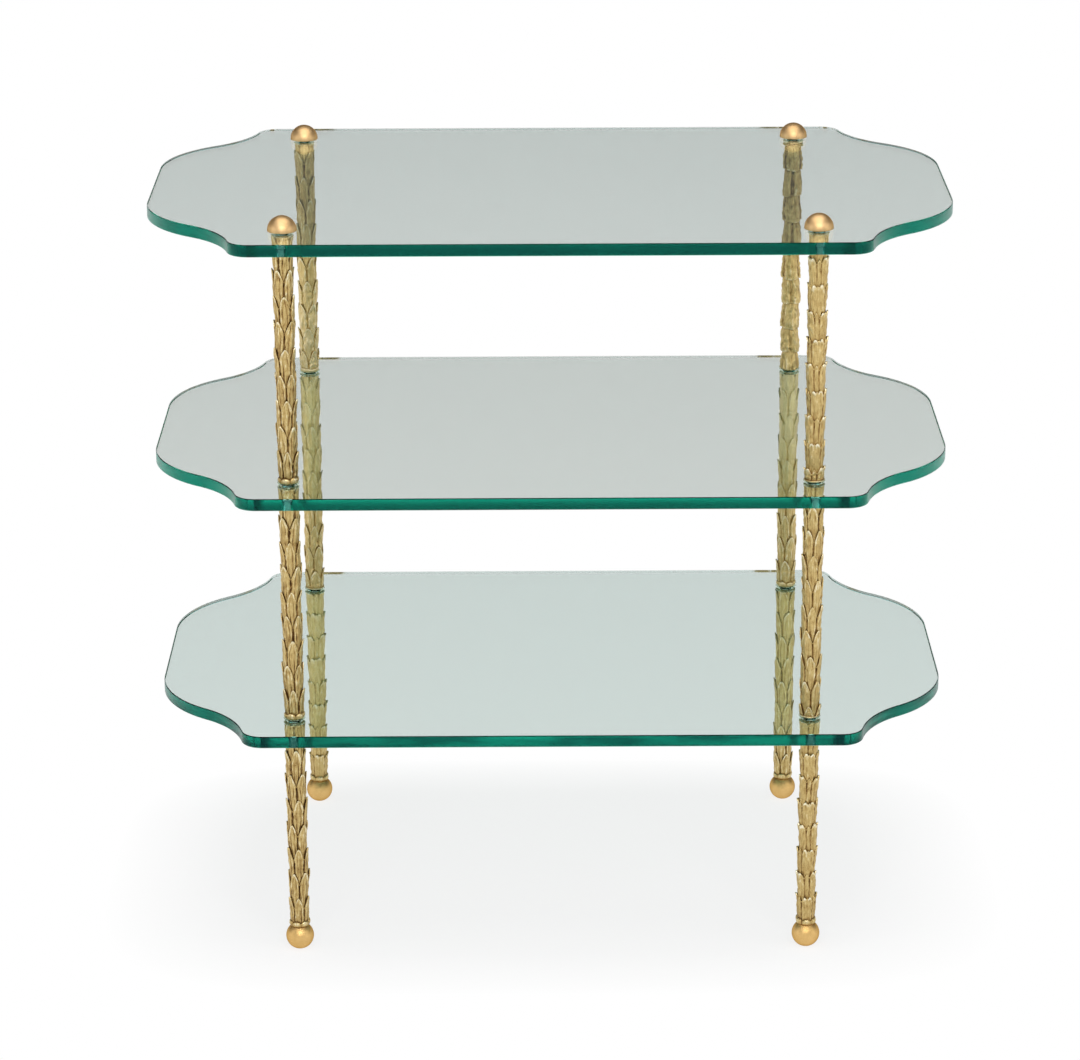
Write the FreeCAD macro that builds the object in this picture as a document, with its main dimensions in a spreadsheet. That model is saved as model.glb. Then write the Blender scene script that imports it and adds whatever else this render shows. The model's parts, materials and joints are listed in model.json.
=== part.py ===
import FreeCAD, Part
import Sketcher
import math
import os

# Etagere: three shaped glass shelves on four posts. Each post is three cast brass pieces in the form
# of a palm trunk, with a ball foot at the floor and a dome cap above the top shelf. The posts' pieces
# are pulled together through the glass by threaded studs, with clear washers and sleeves between.
# Frame: millimetres, +Z up, +X to the right along the shelves, -Y the front. The origin is on the
# floor, in the middle between the four feet.

SIZES = [
    ("shelf_length", 660.0, "glass shelf, end to end"),
    ("shelf_depth", 409.0, "glass shelf, front to back"),
    ("glass_thickness", 10.0, "glass shelf"),
    ("glass_arris", 0.6, "ground edge along the outline"),
    ("shoulder_inset", 92.0, "from the shelf's end to where the straight front edge stops"),
    ("corner_radius", 18.0, "rounded front and back corners"),
    ("corner_turn", 77.0, "degrees that a corner turns through"),
    ("scoop_radius", 87.0, "hollow curve between a corner and the end lobe"),
    ("scoop_turn", 41.0, "degrees that the hollow curve turns back"),
    ("post_spacing_x", 427.0, "between the posts' axes, left to right"),
    ("post_spacing_y", 323.0, "between the posts' axes, front to back"),
    ("glass_hole_arris", 0.8, "ground edge of a drilled hole"),
    ("washer_radius", 9.0, "clear washer"),
    ("washer_thickness", 0.8, "clear washer"),
    ("stud_radius", 3.0, "threaded stud"),
    ("stud_clearance", 0.1, "between a stud and its tapped bore, washer or sleeve"),
    ("sleeve_wall", 0.8, "clear sleeve in a drilled hole"),
    ("sleeve_clearance", 0.1, "between a sleeve and the glass"),
    ("stud_reach", 16.0, "length of a stud inside a post's piece"),
    ("bore_spare", 1.0, "depth of a tapped bore beyond the stud's end"),
    ("core_radius", 6.9, "post, solid core under the leaf scales"),
    ("leaf_root", 0.25, "leaf scale's thickness at its root"),
    ("leaf_flare", 1.55, "how far a leaf's tip stands out beyond its root"),
    ("leaf_count", 5, "leaves in a tier"),
    ("notch_depth", 9.0, "from the leaf tips down to the valley between two leaves"),
    ("ring_height", 5.8, "curled ring at the lower end of a casting"),
    ("ring_flare", 1.45, "how far the curled ring stands out"),
    ("ring_lip", 1.2, "height of the ring's straight lip"),
    ("upper_post_length", 198.4, "casting between the top and middle shelves"),
    ("upper_tier_pitch", 21.7, "height of a tier of leaves there"),
    ("middle_post_length", 193.2, "casting between the middle and bottom shelves"),
    ("middle_tier_pitch", 21.5, "height of a tier of leaves there"),
    ("leg_length", 176.0, "casting below the bottom shelf"),
    ("leg_tier_pitch", 22.3, "height of a tier of leaves there"),
    ("cap_radius", 11.8, "dome cap"),
    ("cap_rim", 0.5, "height of the cap's straight rim"),
    ("cap_reach", 7.0, "length of a stud inside a cap"),
    ("foot_radius", 11.7, "ball foot"),
    ("foot_flat_radius", 3.0, "ground flat that stands on the floor"),
    ("foot_seat_radius", 6.5, "flat seat under the leg"),
    ("foot_reach", 10.0, "length of a stud inside a foot"),
]

# Sizes and heights that follow from the ones above. Each may use those listed before it.
DERIVED = [
    ("waist_radius", "Sizes.core_radius + Sizes.leaf_root"),
    ("tip_radius", "Derived.waist_radius + Sizes.leaf_flare"),
    ("ring_radius", "Derived.waist_radius + Sizes.ring_flare"),
    ("leaf_half_angle", "180 / Sizes.leaf_count"),
    ("bore_radius", "Sizes.stud_radius + Sizes.stud_clearance"),
    ("sleeve_radius", "Derived.bore_radius + Sizes.sleeve_wall"),
    ("glass_hole_radius", "Derived.sleeve_radius + Sizes.sleeve_clearance"),
    ("foot_centre", "sqrt(Sizes.foot_radius ^ 2 - Sizes.foot_flat_radius ^ 2)"),
    ("leg_base", "Derived.foot_centre + sqrt(Sizes.foot_radius ^ 2 - Sizes.foot_seat_radius ^ 2)"),
    ("leg_top", "Derived.leg_base + Sizes.leg_length"),
    ("bottom_glass_base", "Derived.leg_top + Sizes.washer_thickness"),
    ("bottom_glass_top", "Derived.bottom_glass_base + Sizes.glass_thickness"),
    ("middle_post_base", "Derived.bottom_glass_top + Sizes.washer_thickness"),
    ("middle_post_top", "Derived.middle_post_base + Sizes.middle_post_length"),
    ("middle_glass_base", "Derived.middle_post_top + Sizes.washer_thickness"),
    ("middle_glass_top", "Derived.middle_glass_base + Sizes.glass_thickness"),
    ("upper_post_base", "Derived.middle_glass_top + Sizes.washer_thickness"),
    ("upper_post_top", "Derived.upper_post_base + Sizes.upper_post_length"),
    ("top_glass_base", "Derived.upper_post_top + Sizes.washer_thickness"),
    ("top_glass_top", "Derived.top_glass_base + Sizes.glass_thickness"),
    ("cap_base", "Derived.top_glass_top + Sizes.washer_thickness"),
]

# Which way each post lies from the middle, along X and along Y.
CORNERS = {
    "front_left": (-1, -1),
    "front_right": (1, -1),
    "back_left": (-1, 1),
    "back_right": (1, 1),
}

# Castings turned about the post's axis by half a leaf, so that a valley of the lowest tier faces
# the front.
VALLEY_TO_FRONT = ["front_right_upper_post", "back_left_upper_post"]

# Castings mounted with their curled ring up.
UPSIDE_DOWN = ["back_right_upper_post"]

FULL_TURN = 360.0
HALF_TURN = 180.0
RIGHT_ANGLE = 90.0
ON_AXIS = "0"
ORIGIN = (-1, 1)
X_AXIS = -1
Y_AXIS = -2
# Which point of a sketch edge a constraint takes.
START, END, CENTRE = range(1, 4)


def vector(x, y, z=0.0):
    return FreeCAD.Vector(x, y, z)


def make_sizes(doc):
    """The spreadsheet of driving dimensions, and the set of values worked out from them."""
    sheet = doc.addObject("Spreadsheet::Sheet", "Sizes")
    for row, (alias, value, meaning) in enumerate(SIZES, start=1):
        sheet.set(f"A{row}", alias)
        sheet.set(f"B{row}", str(value))
        sheet.set(f"C{row}", meaning)
        sheet.setAlias(f"B{row}", alias)
    doc.recompute()
    derived = doc.addObject("App::VarSet", "Derived")
    for name, formula in DERIVED:
        derived.addProperty("App::PropertyFloat", name, "Derived")
        derived.setExpression(name, formula)
        doc.recompute()


def value_of(item, formula):
    """The number that a formula gives now."""
    result = item.evalExpression(formula)
    return float(getattr(result, "Value", result))


def origin_feature(body, role):
    return next(feature for feature in body.Origin.OriginFeatures if feature.Role == role)


def new_sketch(body, name, role):
    sketch = body.newObject("Sketcher::SketchObject", name)
    sketch.AttachmentSupport = [(origin_feature(body, role), "")]
    sketch.MapMode = "FlatFace"
    return sketch


def bind(sketch, constraint, formula):
    """Adds a dimension to a sketch and ties it to a formula."""
    index = sketch.addConstraint(constraint)
    sketch.setExpression(f"Constraints[{index}]", formula)


def new_feature(body, kind, name, profile):
    feature = body.newObject(f"PartDesign::{kind}", name)
    feature.Profile = profile
    return feature


def circle_sketch(body, name, radius):
    """A circle about the body's own axis."""
    sketch = new_sketch(body, name, "XY_Plane")
    size = value_of(sketch, radius)
    sketch.addGeometry(Part.Circle(vector(0, 0), vector(0, 0, 1), size), False)
    sketch.addConstraint(Sketcher.Constraint("Coincident", 0, CENTRE, *ORIGIN))
    bind(sketch, Sketcher.Constraint("Radius", 0, size), radius)
    return sketch


def polygon_sketch(body, name, corners):
    """A closed polygon in the XZ plane. Each corner is a pair of formulas, across and up."""
    sketch = new_sketch(body, name, "XZ_Plane")
    points = [vector(value_of(sketch, across), value_of(sketch, up)) for across, up in corners]
    for point, following in zip(points, points[1:] + points[:1]):
        sketch.addGeometry(Part.LineSegment(point, following), False)
    for line in range(len(points)):
        following = (line + 1) % len(points)
        sketch.addConstraint(Sketcher.Constraint("Coincident", line, END, following, START))
    for line, (point, (across, up)) in enumerate(zip(points, corners)):
        if across == ON_AXIS:
            sketch.addConstraint(Sketcher.Constraint("PointOnObject", line, START, Y_AXIS))
        else:
            bind(sketch, Sketcher.Constraint("DistanceX", *ORIGIN, line, START, point.x), across)
        if up == ON_AXIS:
            sketch.addConstraint(Sketcher.Constraint("PointOnObject", line, START, X_AXIS))
        else:
            bind(sketch, Sketcher.Constraint("DistanceY", *ORIGIN, line, START, point.y), up)
    return sketch


def turned(body, name, corners):
    """A polygon spun about the body's axis."""
    sketch = polygon_sketch(body, f"{name}_profile", corners)
    spun = new_feature(body, "Revolution", name, sketch)
    spun.ReferenceAxis = (sketch, ["V_Axis"])
    spun.Angle = FULL_TURN
    return spun


def bore(body, name, radius, mouth, depth, upwards):
    """A round bore on the body's axis. mouth is its height, and upwards says which way it goes in."""
    sketch = circle_sketch(body, f"{name}_circle", radius)
    sketch.setExpression("AttachmentOffset.Base.z", mouth)
    pocket = new_feature(body, "Pocket", name, sketch)
    pocket.setExpression("Length", depth)
    pocket.Reversed = upwards


def stand_at(item, corner, height):
    """Ties a piece's place to a post's axis and a height."""
    side_x, side_y = CORNERS[corner]
    item.setExpression("Placement.Base.x", f"{side_x} * Sizes.post_spacing_x / 2")
    item.setExpression("Placement.Base.y", f"{side_y} * Sizes.post_spacing_y / 2")
    item.setExpression("Placement.Base.z", height)


# Glass shelves


def outline_points(sketch):
    """A quarter of the shelf's outline: the arcs' centres, and where each stretch meets the next."""
    end = value_of(sketch, "Sizes.shelf_length / 2")
    side = value_of(sketch, "Sizes.shelf_depth / 2")
    corner_radius = value_of(sketch, "Sizes.corner_radius")
    scoop_radius = value_of(sketch, "Sizes.scoop_radius")
    straight = end - value_of(sketch, "Sizes.shoulder_inset")
    steep = math.radians(RIGHT_ANGLE - value_of(sketch, "Sizes.corner_turn"))
    slant = steep + math.radians(value_of(sketch, "Sizes.scoop_turn"))
    steep_way = vector(math.cos(steep), math.sin(steep))
    slant_way = vector(math.cos(slant), math.sin(slant))
    corner_centre = vector(straight, side - corner_radius)
    corner_end = corner_centre + steep_way * corner_radius
    scoop_centre = corner_end + steep_way * scoop_radius
    scoop_end = scoop_centre - slant_way * scoop_radius
    lobe_radius = (end - scoop_end.x) / (1 - math.cos(slant))
    lobe_centre = scoop_end - slant_way * lobe_radius
    lines = {
        "axis_x": (vector(0, 0), vector(end, 0)),
        "end": (vector(end, 0), vector(end, lobe_centre.y)),
        "front": (vector(straight, side), vector(0, side)),
        "axis_y": (vector(0, side), vector(0, 0)),
    }
    arcs = {
        "lobe": (lobe_centre, lobe_radius, 0.0, slant),
        "scoop": (scoop_centre, scoop_radius, steep + math.pi, slant + math.pi),
        "corner": (corner_centre, corner_radius, steep, math.pi / 2),
    }
    return lines, arcs


def outline_sketch(body):
    """A quarter of the shelf. A straight end runs by a round lobe, a hollow curve and a rounded corner
    into the long straight front, each tangent to the next."""
    sketch = new_sketch(body, "outline", "XY_Plane")
    lines, arcs = outline_points(sketch)
    place = {}
    for name, (start, stop) in lines.items():
        place[name] = sketch.addGeometry(Part.LineSegment(start, stop), False)
    for name, (centre, radius, first, last) in arcs.items():
        circle = Part.Circle(centre, vector(0, 0, 1), radius)
        place[name] = sketch.addGeometry(Part.ArcOfCircle(circle, first, last), False)
    sketch.addConstraint(Sketcher.Constraint("Coincident", place["axis_x"], START, *ORIGIN))
    sketch.addConstraint(Sketcher.Constraint("Coincident", place["axis_y"], END, *ORIGIN))
    sketch.addConstraint(Sketcher.Constraint("Coincident", place["axis_x"], END, place["end"], START))
    sketch.addConstraint(Sketcher.Constraint("Coincident", place["front"], END, place["axis_y"], START))
    for name in ("axis_x", "front"):
        sketch.addConstraint(Sketcher.Constraint("Horizontal", place[name]))
    for name in ("end", "axis_y"):
        sketch.addConstraint(Sketcher.Constraint("Vertical", place[name]))
    joins = [
        ("end", END, "lobe", START),
        ("lobe", END, "scoop", END),
        ("scoop", START, "corner", START),
        ("corner", END, "front", START),
    ]
    for first, first_point, second, second_point in joins:
        tangent = Sketcher.Constraint("Tangent", place[first], first_point, place[second], second_point)
        sketch.addConstraint(tangent)
    end = lines["end"][0].x
    side = lines["front"][0].y
    straight = lines["front"][0].x
    corner_turn = math.radians(value_of(sketch, "Sizes.corner_turn"))
    scoop_turn = math.radians(value_of(sketch, "Sizes.scoop_turn"))
    bind(
        sketch,
        Sketcher.Constraint("DistanceX", *ORIGIN, place["axis_x"], END, end),
        "Sizes.shelf_length / 2",
    )
    bind(
        sketch,
        Sketcher.Constraint("DistanceY", *ORIGIN, place["front"], END, side),
        "Sizes.shelf_depth / 2",
    )
    bind(
        sketch,
        Sketcher.Constraint("DistanceX", *ORIGIN, place["front"], START, straight),
        "Sizes.shelf_length / 2 - Sizes.shoulder_inset",
    )
    for name in ("corner", "scoop"):
        radius = Sketcher.Constraint("Radius", place[name], arcs[name][1])
        bind(sketch, radius, f"Sizes.{name}_radius")
    for name, turn in (("corner", corner_turn), ("scoop", scoop_turn)):
        bind(sketch, Sketcher.Constraint("Angle", place[name], turn), f"Sizes.{name}_turn * 1 deg")
    return sketch


def hole_sketch(body):
    """The drilled hole of one post, in the quarter where X and Y are positive."""
    sketch = new_sketch(body, "hole", "XY_Plane")
    across = value_of(sketch, "Sizes.post_spacing_x / 2")
    along = value_of(sketch, "Sizes.post_spacing_y / 2")
    radius = value_of(sketch, "Derived.glass_hole_radius")
    sketch.addGeometry(Part.Circle(vector(across, along), vector(0, 0, 1), radius), False)
    bind(sketch, Sketcher.Constraint("DistanceX", *ORIGIN, 0, CENTRE, across), "Sizes.post_spacing_x / 2")
    bind(sketch, Sketcher.Constraint("DistanceY", *ORIGIN, 0, CENTRE, along), "Sizes.post_spacing_y / 2")
    bind(sketch, Sketcher.Constraint("Radius", 0, radius), "Derived.glass_hole_radius")
    return sketch


def face_edges(shape, thickness, round_hole):
    """The names of the edges that lie in the glass's upper and lower faces: those of the drilled
    holes, or those of the outline."""
    names = []
    for number, edge in enumerate(shape.Edges, start=1):
        box = edge.BoundBox
        flat = box.ZLength < thickness / 2
        closed = edge.isClosed()
        if flat and closed == round_hole:
            names.append(f"Edge{number}")
    return names


def ground_edge(doc, body, base, name, size, round_hole):
    doc.recompute()
    thickness = value_of(body, "Sizes.glass_thickness")
    chamfer = body.newObject("PartDesign::Chamfer", name)
    chamfer.Base = (base, face_edges(base.Shape, thickness, round_hole))
    chamfer.setExpression("Size", size)
    return chamfer


def make_shelf(doc, name, height):
    """A glass shelf: a quarter of the plate with its drilled hole, mirrored front to back and side to
    side, and all its edges ground."""
    body = doc.addObject("PartDesign::Body", name)
    plate = new_feature(body, "Pad", "plate", outline_sketch(body))
    plate.setExpression("Length", "Sizes.glass_thickness")
    hole = new_feature(body, "Pocket", "drilled_hole", hole_sketch(body))
    hole.setExpression("Length", "Sizes.glass_thickness")
    hole.Reversed = True
    whole = body.newObject("PartDesign::MultiTransform", "whole_plate")
    whole.Originals = [plate, hole]
    mirrors = []
    for role in ("YZ_Plane", "XZ_Plane"):
        mirror = body.newObject("PartDesign::Mirrored", f"mirror_{role[:2]}")
        mirror.MirrorPlane = (origin_feature(body, role), [""])
        mirrors.append(mirror)
    whole.Transformations = mirrors
    body.Tip = whole
    holes_ground = ground_edge(doc, body, whole, "hole_arris", "Sizes.glass_hole_arris", True)
    ground_edge(doc, body, holes_ground, "arris", "Sizes.glass_arris", False)
    body.setExpression("Placement.Base.z", height)
    return body


# Posts


def leaf_notches(body, name, tier, pitch, turn):
    """The valleys between the leaves of one tier: a V cut inwards as far as the core, repeated round
    the post. turn is the angle of the first valley from the front."""
    half_width = "Derived.tip_radius * sin(Derived.leaf_half_angle * 1 deg)"
    top = f"Sizes.ring_height + {tier + 1} * {pitch}"
    corners = [
        (ON_AXIS, f"{top} - Sizes.notch_depth"),
        (half_width, top),
        (f"-{half_width}", top),
    ]
    sketch = polygon_sketch(body, f"{name}_profile", corners)
    angle = f"({turn} * Derived.leaf_half_angle) * 1 deg"
    sketch.AttachmentOffset = FreeCAD.Placement(vector(0, 0), FreeCAD.Rotation(vector(0, 1), 1.0))
    sketch.setExpression("AttachmentOffset.Rotation.Angle", angle)
    sketch.setExpression("AttachmentOffset.Base.x", f"Sizes.core_radius * sin({angle})")
    sketch.setExpression("AttachmentOffset.Base.z", f"Sizes.core_radius * cos({angle})")
    pocket = new_feature(body, "Pocket", name, sketch)
    pocket.Type = "ThroughAll"
    pocket.Reversed = True
    around = body.newObject("PartDesign::PolarPattern", f"{name}_around")
    around.Originals = [pocket]
    around.Axis = (origin_feature(body, "Z_Axis"), [""])
    around.Angle = FULL_TURN
    around.setExpression("Occurrences", "Sizes.leaf_count")
    body.Tip = around


def make_casting(doc, name, length, pitch):
    """One palm-trunk casting, standing on its curled ring: pairs of leaf tiers, the second turned by
    half a leaf, repeated up a solid core, cut off level at the top and bored at both ends."""
    body = doc.addObject("PartDesign::Body", name)
    waist = "Derived.waist_radius"
    tip = "Derived.tip_radius"
    root = "Sizes.ring_height"
    tier_profile = [
        (ON_AXIS, root),
        (waist, root),
        (tip, f"{root} + {pitch}"),
        (waist, f"{root} + {pitch}"),
        (tip, f"{root} + 2 * {pitch}"),
        (ON_AXIS, f"{root} + 2 * {pitch}"),
    ]
    turned(body, "tier_pair", tier_profile)
    leaf_notches(body, "lower_notch", 0, pitch, 1)
    leaf_notches(body, "upper_notch", 1, pitch, 0)
    doc.recompute()
    pairs = f"ceil(({length} - {root}) / (2 * {pitch}))"
    tiers = body.newObject("PartDesign::LinearPattern", "tiers")
    tiers.TransformMode = "Whole shape"
    tiers.Direction = (origin_feature(body, "Z_Axis"), [""])
    tiers.setExpression("Occurrences", pairs)
    tiers.setExpression("Length", f"({pairs} - 1) * 2 * {pitch}")
    body.Tip = tiers
    core = new_feature(body, "Pad", "core", circle_sketch(body, "core_circle", "Sizes.core_radius"))
    core.setExpression("Length", length)
    ring_profile = [
        (ON_AXIS, ON_AXIS),
        ("Derived.ring_radius", ON_AXIS),
        ("Derived.ring_radius", "Sizes.ring_lip"),
        (waist, root),
        (ON_AXIS, root),
    ]
    turned(body, "ring", ring_profile)
    level = circle_sketch(body, "level_circle", f"2 * {tip}")
    level.setExpression("AttachmentOffset.Base.z", length)
    cut_off = new_feature(body, "Pocket", "cut_off", level)
    cut_off.Type = "ThroughAll"
    cut_off.Reversed = True
    depth = "Sizes.stud_reach + Sizes.bore_spare"
    bore(body, "lower_bore", "Derived.bore_radius", "0", depth, True)
    bore(body, "upper_bore", "Derived.bore_radius", length, depth, False)
    return body


def make_post_piece(doc, casting, corner, kind, base, top):
    """One post piece: a casting stood at its corner, or hung from its other end."""
    name = f"{corner}_{kind}"
    body = doc.addObject("PartDesign::Body", name)
    body.BaseFeature = casting
    if name in UPSIDE_DOWN:
        body.Placement.Rotation = FreeCAD.Rotation(vector(1, 0), HALF_TURN)
        stand_at(body, corner, top)
    else:
        stand_at(body, corner, base)
    if name in VALLEY_TO_FRONT:
        body.Placement.Rotation = FreeCAD.Rotation(vector(0, 0, 1), 1.0)
        body.setExpression("Placement.Rotation.Angle", "Derived.leaf_half_angle * 1 deg")
    return body


# Caps and feet


def arc_profile(body, name, corners, arc, radius):
    """A closed profile in the XZ plane, where one side is an arc about the body's axis. corners are
    pairs of formulas, and arc is the corner that the arc starts from, going round to the next."""
    sketch = new_sketch(body, name, "XZ_Plane")
    points = [vector(value_of(sketch, across), value_of(sketch, up)) for across, up in corners]
    centre_up = value_of(sketch, radius[1])
    centre = vector(0, centre_up)
    for side, (point, following) in enumerate(zip(points, points[1:] + points[:1])):
        if side == arc:
            circle = Part.Circle(centre, vector(0, 0, 1), value_of(sketch, radius[0]))
            first = math.atan2(point.y - centre_up, point.x)
            last = math.atan2(following.y - centre_up, following.x)
            sketch.addGeometry(Part.ArcOfCircle(circle, first, last), False)
        else:
            sketch.addGeometry(Part.LineSegment(point, following), False)
    for side in range(len(points)):
        following = (side + 1) % len(points)
        sketch.addConstraint(Sketcher.Constraint("Coincident", side, END, following, START))
    sketch.addConstraint(Sketcher.Constraint("PointOnObject", arc, CENTRE, Y_AXIS))
    size = value_of(sketch, radius[0])
    bind(sketch, Sketcher.Constraint("Radius", arc, size), radius[0])
    return sketch, points


def make_cap(doc, corner):
    """A dome cap: half a ball on a low straight rim, tapped from below."""
    body = doc.addObject("PartDesign::Body", f"{corner}_dome_cap")
    crown = "Sizes.cap_rim + Sizes.cap_radius"
    corners = [
        (ON_AXIS, ON_AXIS),
        ("Sizes.cap_radius", ON_AXIS),
        ("Sizes.cap_radius", "Sizes.cap_rim"),
        (ON_AXIS, crown),
    ]
    sketch, points = arc_profile(body, "dome_profile", corners, 2, ("Sizes.cap_radius", "Sizes.cap_rim"))
    sketch.addConstraint(Sketcher.Constraint("Coincident", 0, START, *ORIGIN))
    sketch.addConstraint(Sketcher.Constraint("PointOnObject", 0, END, X_AXIS))
    sketch.addConstraint(Sketcher.Constraint("Vertical", 1))
    sketch.addConstraint(Sketcher.Constraint("Horizontal", 2, CENTRE, 2, START))
    sketch.addConstraint(Sketcher.Constraint("PointOnObject", 2, END, Y_AXIS))
    bind(sketch, Sketcher.Constraint("DistanceY", *ORIGIN, 1, END, points[2].y), "Sizes.cap_rim")
    dome = new_feature(body, "Revolution", "dome", sketch)
    dome.ReferenceAxis = (sketch, ["V_Axis"])
    dome.Angle = FULL_TURN
    bore(body, "cap_bore", "Derived.bore_radius", "0", "Sizes.cap_reach + Sizes.bore_spare", True)
    stand_at(body, corner, "Derived.cap_base")
    return body


def make_foot(doc, corner):
    """A ball foot, ground flat where it stands and where the leg sits on it, tapped from above."""
    body = doc.addObject("PartDesign::Body", f"{corner}_ball_foot")
    corners = [
        (ON_AXIS, ON_AXIS),
        ("Sizes.foot_flat_radius", ON_AXIS),
        ("Sizes.foot_seat_radius", "Derived.leg_base"),
        (ON_AXIS, "Derived.leg_base"),
    ]
    ball = ("Sizes.foot_radius", "Derived.foot_centre")
    sketch, points = arc_profile(body, "ball_profile", corners, 1, ball)
    sketch.addConstraint(Sketcher.Constraint("Coincident", 0, START, *ORIGIN))
    sketch.addConstraint(Sketcher.Constraint("PointOnObject", 0, END, X_AXIS))
    sketch.addConstraint(Sketcher.Constraint("Horizontal", 2))
    sketch.addConstraint(Sketcher.Constraint("PointOnObject", 2, END, Y_AXIS))
    flat = Sketcher.Constraint("DistanceX", *ORIGIN, 0, END, points[1].x)
    bind(sketch, flat, "Sizes.foot_flat_radius")
    seat = Sketcher.Constraint("DistanceX", *ORIGIN, 2, START, points[2].x)
    bind(sketch, seat, "Sizes.foot_seat_radius")
    round_ball = new_feature(body, "Revolution", "ball", sketch)
    round_ball.ReferenceAxis = (sketch, ["V_Axis"])
    round_ball.Angle = FULL_TURN
    depth = "Sizes.foot_reach + Sizes.bore_spare"
    bore(body, "foot_bore", "Derived.bore_radius", "Derived.leg_base", depth, False)
    stand_at(body, corner, "0")
    return body


# Studs, washers and sleeves, one of each at every post of a level


def cylinder(doc, name, radius, height):
    rod = doc.addObject("Part::Cylinder", name)
    rod.setExpression("Radius", radius)
    rod.setExpression("Height", height)
    return rod


def one_per_post(doc, name, base, make_piece):
    """A group of four equal pieces, one at each post, lifted to the height base."""
    pieces = []
    for corner in CORNERS:
        piece = make_piece(f"{name}_{corner}")
        stand_at(piece, corner, "0")
        pieces.append(piece)
    group = doc.addObject("Part::Compound", name)
    group.Links = pieces
    group.setExpression("Placement.Base.z", base)
    return group


def make_studs(doc, name, base, height):
    return one_per_post(
        doc, name, base, lambda piece: cylinder(doc, piece, "Sizes.stud_radius", height)
    )


def make_rings(doc, name, base, radius, hole_radius, height):
    """Four flat rings or tubes."""

    def ring(piece):
        cut = doc.addObject("Part::Cut", piece)
        cut.Base = cylinder(doc, f"{piece}_outside", radius, height)
        cut.Tool = cylinder(doc, f"{piece}_hole", hole_radius, height)
        return cut

    return one_per_post(doc, name, base, ring)


def make_joint_hardware(doc):
    """The studs through the glass, and the clear washers and sleeves that keep metal off it."""
    pieces = []
    through = "Sizes.glass_thickness + 2 * Sizes.washer_thickness"
    studs = [
        ("cap_studs", "Derived.upper_post_top - Sizes.stud_reach", f"Sizes.cap_reach + {through}"),
        ("middle_studs", "Derived.middle_post_top - Sizes.stud_reach", f"Sizes.stud_reach + {through}"),
        ("lower_studs", "Derived.leg_top - Sizes.stud_reach", f"Sizes.stud_reach + {through}"),
        ("foot_studs", "Derived.leg_base - Sizes.foot_reach", "Sizes.foot_reach"),
    ]
    for name, base, beyond in studs:
        pieces.append(make_studs(doc, name, base, f"Sizes.stud_reach + {beyond}"))
    for level in ("top", "middle", "bottom"):
        glass_base = f"Derived.{level}_glass_base"
        washers = [
            (f"{level}_shelf_lower_washers", f"{glass_base} - Sizes.washer_thickness"),
            (f"{level}_shelf_upper_washers", f"Derived.{level}_glass_top"),
        ]
        for name, base in washers:
            size = ("Sizes.washer_radius", "Derived.bore_radius", "Sizes.washer_thickness")
            pieces.append(make_rings(doc, name, base, *size))
        size = ("Derived.sleeve_radius", "Derived.bore_radius", "Sizes.glass_thickness")
        pieces.append(make_rings(doc, f"{level}_shelf_sleeves", glass_base, *size))
    return pieces


def make_parts(doc):
    """Every sub-part of the etagere, each an object of its own."""
    parts = [make_shelf(doc, f"{level}_shelf", f"Derived.{level}_glass_base")
             for level in ("top", "middle", "bottom")]
    castings = [
        ("upper_post", "Sizes.upper_post_length", "Sizes.upper_tier_pitch"),
        ("middle_post", "Sizes.middle_post_length", "Sizes.middle_tier_pitch"),
        ("leg", "Sizes.leg_length", "Sizes.leg_tier_pitch"),
    ]
    for kind, length, pitch in castings:
        casting = make_casting(doc, f"{kind}_casting", length, pitch)
        for corner in CORNERS:
            base = f"Derived.{kind}_base"
            top = f"Derived.{kind}_top"
            parts.append(make_post_piece(doc, casting, corner, kind, base, top))
    for corner in CORNERS:
        parts.append(make_cap(doc, corner))
        parts.append(make_foot(doc, corner))
    parts.extend(make_joint_hardware(doc))
    return parts


def check_and_write(doc, parts):
    """Stops on a failed object or a bad shape, and otherwise writes each sub-part to its own file."""
    for item in doc.Objects:
        failed = [state for state in item.State if state in ("Invalid", "Error")]
        if failed:
            raise RuntimeError(f"{item.Name} is {failed}")
    for part in parts:
        if part.Shape.isNull() or not part.Shape.isValid():
            raise RuntimeError(f"{part.Label} has a bad shape")
    os.makedirs("parts", exist_ok=True)
    for part in parts:
        part.Shape.exportStep(f"parts/{part.Label}.step")


document = FreeCAD.newDocument("Etagere")
make_sizes(document)
all_parts = make_parts(document)
document.recompute()
check_and_write(document, all_parts)
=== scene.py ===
"""A three-tier etagere: clear glass shelves with scooped corners, threaded between cast brass
posts shaped as palm trunks, with satin brass dome caps and ball feet.

Shapes are worked out in millimetres around the places and sizes of the CAD nodes, with x to the
right, y to the back and z up from the floor. Materials, lamps and the camera are in metres."""

import json
import math

import bmesh
import bpy
import numpy as np
from mathutils import Matrix, Vector

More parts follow.
